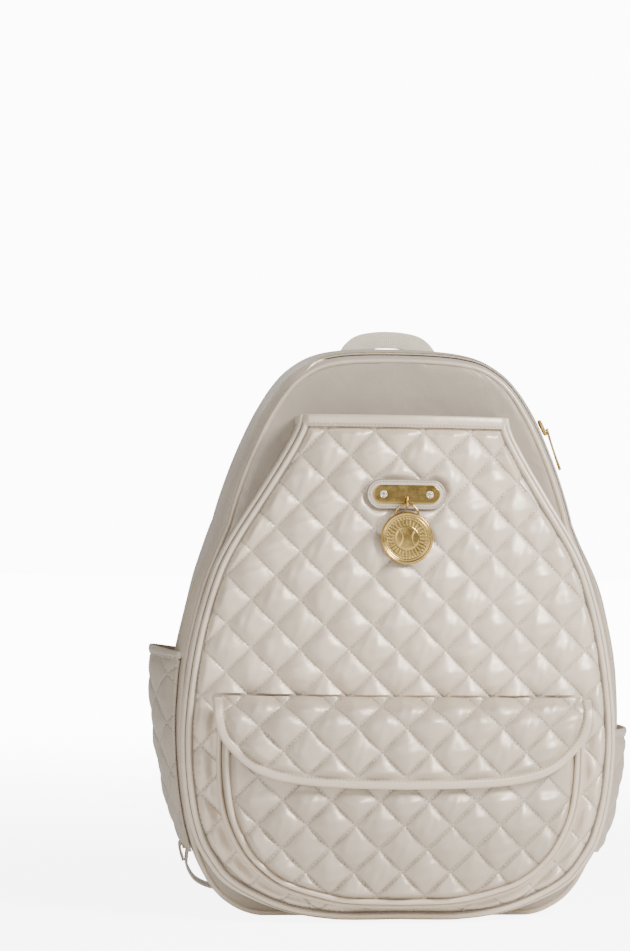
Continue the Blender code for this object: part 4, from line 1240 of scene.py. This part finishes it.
class BAG_OT_side_pockets(bpy.types.Operator):
    """Quilted side pockets with lining inside and a stitched hem at the mouth"""
    bl_idname = "bag.side_pockets"
    bl_label = "Side pockets"

    def execute(self, context):
        # Painted shade: the side pockets and their hems are darkened to 0.66 and 0.72, on the
        # sideways-facing pockets
        quilt = paint_quilt("quilt_side", 0.66)
        lining = paint_lining("lining_pocket", (0.42, 0.33, 0.24))
        hem = paint_leather("leather_side_hem", 0.72, (-1.6,))
        for side, sx, mouth, flare in SIDE_POCKETS:
            rim = mouth - HEM_DROP
            vv, zz, yy, off = pocket_grid(POCKET_FOOT, rim, mouth, flare, 110, 70)
            fade = np.minimum((1 - np.abs(vv)) * 0.043, np.minimum(zz - POCKET_FOOT, rim - zz))
            u, w = quilt_lay(yy, zz, (0.25, 0.10))
            puff = quilt_height(u, w, np.maximum(fade, 0)) * 0.40
            out = wall_point(sx, zz, yy, off + 0.0016 + puff)
            inn = wall_point(sx, zz, yy, off + 0.0006)
            ob = slab("pocket_" + side, out, inn, quilt, np.stack([u, w], axis=-1))
            dress(ob, "bag", "quilted_leather", "side_pocket_" + side)
            ob = slab("pocket_lining_" + side, wall_point(sx, zz, yy, off + 0.0007),
                      wall_point(sx, zz, yy, off + 0.0001), lining)
            dress(ob, "bag", "lining")
            vv, zz, yy, off = pocket_grid(mouth - 0.0064, mouth, mouth, flare, 15, 70)
            roll = np.sin(np.pi * np.clip((zz - mouth + 0.0064) / 0.0064, 0.0, 1.0)) ** 0.5
            crease = -0.0005 * np.exp(-((mouth - zz - 0.0050) / 0.0006) ** 2)
            out = wall_point(sx, zz, yy, off + 0.0022 + 0.0011 * roll + crease)
            inn = wall_point(sx, zz, yy, off + 0.0004 - 0.0004 * roll)
            ob = slab("pocket_hem_" + side, out, inn, hem,
                      np.stack([zz - (mouth - 0.0032), yy], axis=-1))
            dress(ob, "bag", "leather_trim", "side_pocket_" + side + "_hem")
        return {"FINISHED"}


def strap_frame(pts, n, side0, side1, turn):
    """Path, width direction and face direction of a strap whose width turns along its run."""
    path = smooth(pts, n)
    u = np.linspace(0, 1, n)
    tan = frames(path)
    mix = step((u - turn[0]) / (turn[1] - turn[0]))[:, None]
    side = np.asarray(side0, float) * (1 - mix) + np.asarray(side1, float) * mix
    side = side - tan * np.sum(side * tan, axis=1)[:, None]
    side /= np.linalg.norm(side, axis=1)[:, None]
    return u, path, side, np.cross(tan, side)


def pillow(name, centre, axes, half, r, mat):
    """Block with rounded edges and ends: rounded profile that shrinks over each end."""
    t = np.radians(np.linspace(0, 90, 6))
    end = half[2] - r + r * np.sin(t)
    inset = r * (1 - np.cos(t))
    along = np.concatenate([-end[::-1], np.linspace(-1, 1, 12)[1:-1] * (half[2] - r), end])
    inset = np.concatenate([inset[::-1], np.zeros(10), inset])
    prof = np.stack([rounded(half[0] - e, half[1] - e, max(r - e, 0.00005)) for e in inset])
    c = np.asarray(centre, float)
    return carry(name, c + np.asarray(axes[2], float) * along[:, None], axes[0], axes[1], prof,
                 False, mat)


def swell(ob, cap, pressure=4.0):
    """Cloth run: the closed cover is blown up a little, its points moving no more than cap."""
    start = np.empty(len(ob.data.vertices) * 3)
    ob.data.vertices.foreach_get("co", start)
    scene = bpy.context.scene
    mod = ob.modifiers.new("cover", "CLOTH")
    cloth = mod.settings
    cloth.quality = 5
    cloth.mass = 0.3
    cloth.use_pressure = True
    cloth.uniform_pressure_force = pressure
    cloth.tension_stiffness = 25
    cloth.compression_stiffness = 12
    cloth.bending_stiffness = 2.0
    cloth.effector_weights.gravity = 0.0
    mod.collision_settings.use_collision = False
    mod.point_cache.frame_start = 1
    mod.point_cache.frame_end = 20
    for frame_no in range(1, 21):
        scene.frame_set(frame_no)
    done = ob.evaluated_get(bpy.context.evaluated_depsgraph_get())
    moved = np.empty_like(start)
    done.data.vertices.foreach_get("co", moved)
    ob.modifiers.remove(mod)
    scene.frame_set(1)
    shift = (moved - start).reshape(-1, 3)
    far = np.linalg.norm(shift, axis=1)
    if not np.isfinite(far).all() or far.max() < 1e-6:
        raise RuntimeError(ob.name + ": the cloth run did not move the cover")
    shift *= (np.tanh(far / cap) * cap / np.maximum(far, 1e-9))[:, None]
    ob.data.vertices.foreach_set("co", (start.reshape(-1, 3) + shift).ravel())
    ob.data.update()


class BAG_OT_straps(bpy.types.Operator):
    """Padded shoulder straps, yoke, loop tabs, rings, lower straps and anchors"""
    bl_idname = "bag.straps"
    bl_label = "Straps"

    def execute(self, context):
        cover = paint_leather("leather_strap", 0.80, (-5.2,), 3.4)
        tab = paint_leather("leather_tab", 0.70, (-10.5, 10.5), 3.2)
        cream = paint_webbing("webbing_cream", (0.64, 0.57, 0.45))
        ring_gold = paint_gold("gold_ring", 0.18)
        ob = pillow("yoke", (0, 0.0722, 0.398), ((0, 0, 1), (0, 1, 0), (1, 0, 0)),
                    (0.016, 0.0019, 0.070), 0.0016,
                    paint_leather("leather_yoke", 0.92, (-12.8, 12.8), 3.4))
        dress(ob, "bag", "leather_trim", "strap_yoke")
        for side, sx in (("left", -1), ("right", 1)):
            pts = [(sx * 0.038, 0.0800, 0.4080), (sx * 0.044, 0.0850, 0.3850),
                   (sx * 0.064, 0.0930, 0.3350), (sx * 0.094, 0.0990, 0.2700),
                   (sx * 0.122, 0.1020, 0.1950), (sx * 0.147, 0.1020, 0.1250),
                   (sx * 0.1605, 0.1020, 0.0690)]
            u, path, across, face = strap_frame(pts, 170, (sx, 0, 0), (0, 1, 0), (0.55, 0.95))
            grid = np.linspace(0, 1, 5)
            wide = np.interp(u, grid, (0.056, 0.056, 0.056, 0.050, 0.028))[:, None] / 2
            thick = np.interp(u, grid, (0.0080, 0.0100, 0.0100, 0.0090, 0.0050))[:, None] / 2
            k = np.arange(64) * 2 * math.pi / 64
            c, s = np.cos(k), np.sin(k)
            a = np.sign(c) * np.abs(c) ** 0.55
            rim = wide - np.abs(a) * wide
            body = step((rim - 0.0032) / 0.0090)
            dip = np.exp(-((rim - 0.0052) / 0.0011) ** 2) * 0.0009
            high = np.minimum(0.0017, thick) + (thick - 0.0017) * body * 0.94 - dip
            run = arc_length(path)[:, None]
            high = high + 0.0005 * ripple(run * 0.9, a * wide * 1.3, 4.0 + sx) * body
            b = np.sign(s) * np.minimum(1.0, np.abs(s) * 3.2) ** 0.6 * high
            prof = np.stack([a * wide, b], axis=-1)
            ob = carry("strap_pad_" + side, path, across, face, prof, False, cover)
            lay_out(ob, np.stack([-rim, np.broadcast_to(run, rim.shape)], axis=-1))
            swell(ob, 0.0009)
            dress(ob, "bag", "leather", "shoulder_strap_" + side)
            bar = 0.0665
            loop = [(sx * 0.1590, 0.102, 0.0790), (sx * 0.1572, 0.102, 0.0720),
                    (sx * 0.1573, 0.102, bar), (sx * 0.1583, 0.102, bar - 0.0024),
                    (sx * 0.1605, 0.102, bar - 0.0033), (sx * 0.1627, 0.102, bar - 0.0024),
                    (sx * 0.1637, 0.102, bar), (sx * 0.1634, 0.102, 0.0715),
                    (sx * 0.1600, 0.102, 0.0750)]
            way = smooth(loop, 50)
            ob = carry("strap_tab_" + side, way, (0, 1, 0), np.cross(frames(way), (0, 1, 0)),
                       rounded(0.0118, 0.0009, 0.0007, 4), False, tab)
            dress(ob, "bag", "leather_trim")
            t = (np.arange(64) + 0.5) * 2 * math.pi / 64
            way = np.stack([0 * t, np.cos(t), np.sin(t)], axis=1)
            corner = np.array([0, 0.0105, 0.0095]) * np.sign(way)
            ob = carry("ring_" + side, np.array([sx * 0.1605, 0.1020, 0.0520]) + corner
                       + way * 0.0050, way, (1, 0, 0), circle(0.0015, 12), True, ring_gold)
            dress(ob, "strap_ring_" + side, "pale_gold", "strap_ring_" + side)
            low = 0.0375
            pts = [(sx * 0.1608, 0.1020, 0.0260), (sx * 0.1628, 0.1020, 0.0320),
                   (sx * 0.1638, 0.1020, low), (sx * 0.1628, 0.1020, low + 0.0026),
                   (sx * 0.1605, 0.1020, low + 0.0035), (sx * 0.1582, 0.1020, low + 0.0026),
                   (sx * 0.1572, 0.1020, low), (sx * 0.1580, 0.1020, 0.0310),
                   (sx * 0.1580, 0.1020, 0.0215), (sx * 0.1515, 0.1015, 0.0105),
                   (sx * 0.1400, 0.1003, 0.0046), (sx * 0.1270, 0.0995, 0.0032),
                   (sx * 0.1140, 0.0975, 0.0034), (sx * 0.1015, 0.0915, 0.0070),
                   (sx * 0.0950, 0.0856, 0.0130)]
            u, path, across, face = strap_frame(pts, 220, (0, 1, 0), (sx * -0.9, 0.4, 0),
                                                (0.55, 1.0))
            over = 1.0 if np.sum(face[30] * np.array([0, 0, 1.0])) > 0 else -1.0
            for part, mat, lo, hi, slot in (("face", tab, 0.0000, 0.0012, "leather"),
                                            ("under", cream, -0.0010, 0.0001, "webbing")):
                mid = (lo + hi) / 2 * over
                prof = rounded(0.0125 if part == "face" else 0.0121, (hi - lo) / 2, 0.0004, 4)
                ob = carry("lower_strap_%s_%s" % (part, side), path + face * mid, across, face,
                           prof, False, mat)
                nodes = ("strap_webbing_" + side,) if part == "face" else ()
                if nodes:
                    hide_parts(*nodes)
                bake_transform(ob)
            ob = pillow("anchor_" + side, (sx * 0.094, 0.0720, 0.020),
                        ((0, 0, 1), (0, 1, 0), (1, 0, 0)), (0.012, 0.0050, 0.016), 0.0018,
                        paint_leather("leather_anchor_" + side, 0.90, (-9.6, 9.6), 3.2))
            dress(ob, "bag", "leather_trim", "strap_anchor_" + side)
        return {"FINISHED"}


class BAG_OT_handle(bpy.types.Operator):
    """Cream webbing grab loop behind the top of the arch"""
    bl_idname = "bag.handle"
    bl_label = "Grab handle"

    def execute(self, context):
        half = [(-0.0330, 0.4362), (-0.0320, 0.4440), (-0.0240, 0.4515), (-0.0120, 0.4545)]
        pts = half + [(0.0, 0.4552)] + [(-x, z) for x, z in half[::-1]]
        path = smooth([(x, BACK_PIPING_Y, z) for x, z in pts], 120)
        tan = frames(path)
        nrm = np.cross(tan, (0.0, 1.0, 0.0))
        prof = rounded(0.0068, 0.0013, 0.0009, 5)
        ob = carry("handle_loop", path, nrm, (0, 1, 0), prof, False,
                   paint_webbing("webbing_handle", (0.62, 0.55, 0.43)))
        dress(ob, "handle", "webbing", "grab_handle")
        return {"FINISHED"}


class BAG_OT_back(bpy.types.Operator):
    """Padded back with sewn channels, and the stiff board in the base"""
    bl_idname = "bag.back"
    bl_label = "Back"

    def execute(self, context):
        cover = paint_leather("leather_back", 0.95)
        inner = MAIN_HALF - normals2(MAIN_HALF, False) * 0.0026
        inner = resample(inner[(inner[:, 0] > 0.02)], 150)
        s = np.linspace(-1, 1, 150)
        x = inner[:, 0:1] * s[None]
        z = np.repeat(inner[:, 1:2], 150, axis=1)
        fade = edge_distance(x, z, both_sides(inner))
        rise = (1 - s[None] ** 2) * step(z / 0.06) * step((0.431 - z) / 0.06)
        lines = []
        for level in (0.105, 0.190, 0.275):
            lines.append(np.abs(z - level - 0.10 * x ** 2))
        lines.append(np.where(z > 0.105, np.abs(np.abs(x) - 0.012), 1.0))
        near = np.minimum.reduce(lines)
        pad = 1 - np.exp(-(near / 0.0065) ** 1.3)
        pad = np.where(np.abs(x) < 0.012, np.where(z > 0.105, 0.25, pad), pad)
        puff = 0.0034 * pad * step((fade - 0.010) / 0.010) * step((0.352 - z) / 0.012 + 0.5)
        y = 0.0640 + 0.0050 * rise + puff + 0.0006 * ripple(x, z, 8.0) * step(fade / 0.02)
        back = np.stack([x, np.full_like(x, 0.0616), z], axis=-1)
        ob = slab("back_pad", np.stack([x, y, z], axis=-1), back, cover)
        dress(ob, "bag", "leather", "back_panel")
        lining = paint_lining("lining_board", (0.30, 0.25, 0.20))
        ob = pillow("board", (0, 0.011, 0.0046), ((1, 0, 0), (0, 0, 1), (0, 1, 0)),
                    (0.095, 0.0016, 0.046), 0.0010, lining)
        dress(ob, "bag", "lining", "base_board")
        return {"FINISHED"}


class BAG_PT_panel(bpy.types.Panel):
    """Lists the pieces in the order they are made"""
    bl_idname = "BAG_PT_panel"
    bl_label = "Racket backpack"
    bl_space_type = "VIEW_3D"
    bl_region_type = "UI"
    bl_category = "Backpack"

    def draw(self, context):
        for op in OPERATORS:
            self.layout.operator(op.bl_idname)


OPERATORS = (BAG_OT_body, BAG_OT_racket_pocket, BAG_OT_small_pocket, BAG_OT_flap, BAG_OT_charm,
             BAG_OT_zip, BAG_OT_side_pockets, BAG_OT_straps, BAG_OT_handle, BAG_OT_back,
             BAG_OT_stage)
GROUPS = (("bag_leather", BagLeather), ("bag_quilt", BagQuilt), ("bag_view", BagView))


def register():
    for name, group in GROUPS:
        bpy.utils.register_class(group)
        setattr(bpy.types.Scene, name, PointerProperty(type=group))
    for cls in OPERATORS + (BAG_PT_panel,):
        bpy.utils.register_class(cls)


def unregister():
    for cls in reversed(OPERATORS + (BAG_PT_panel,)):
        bpy.utils.unregister_class(cls)
    for name, group in GROUPS:
        delattr(bpy.types.Scene, name)
        bpy.utils.unregister_class(group)


def main():
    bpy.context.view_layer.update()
    register()
    for op in OPERATORS:
        group, name = op.bl_idname.split(".")
        getattr(getattr(bpy.ops, group), name)()


if __name__ == "__main__":
    main()
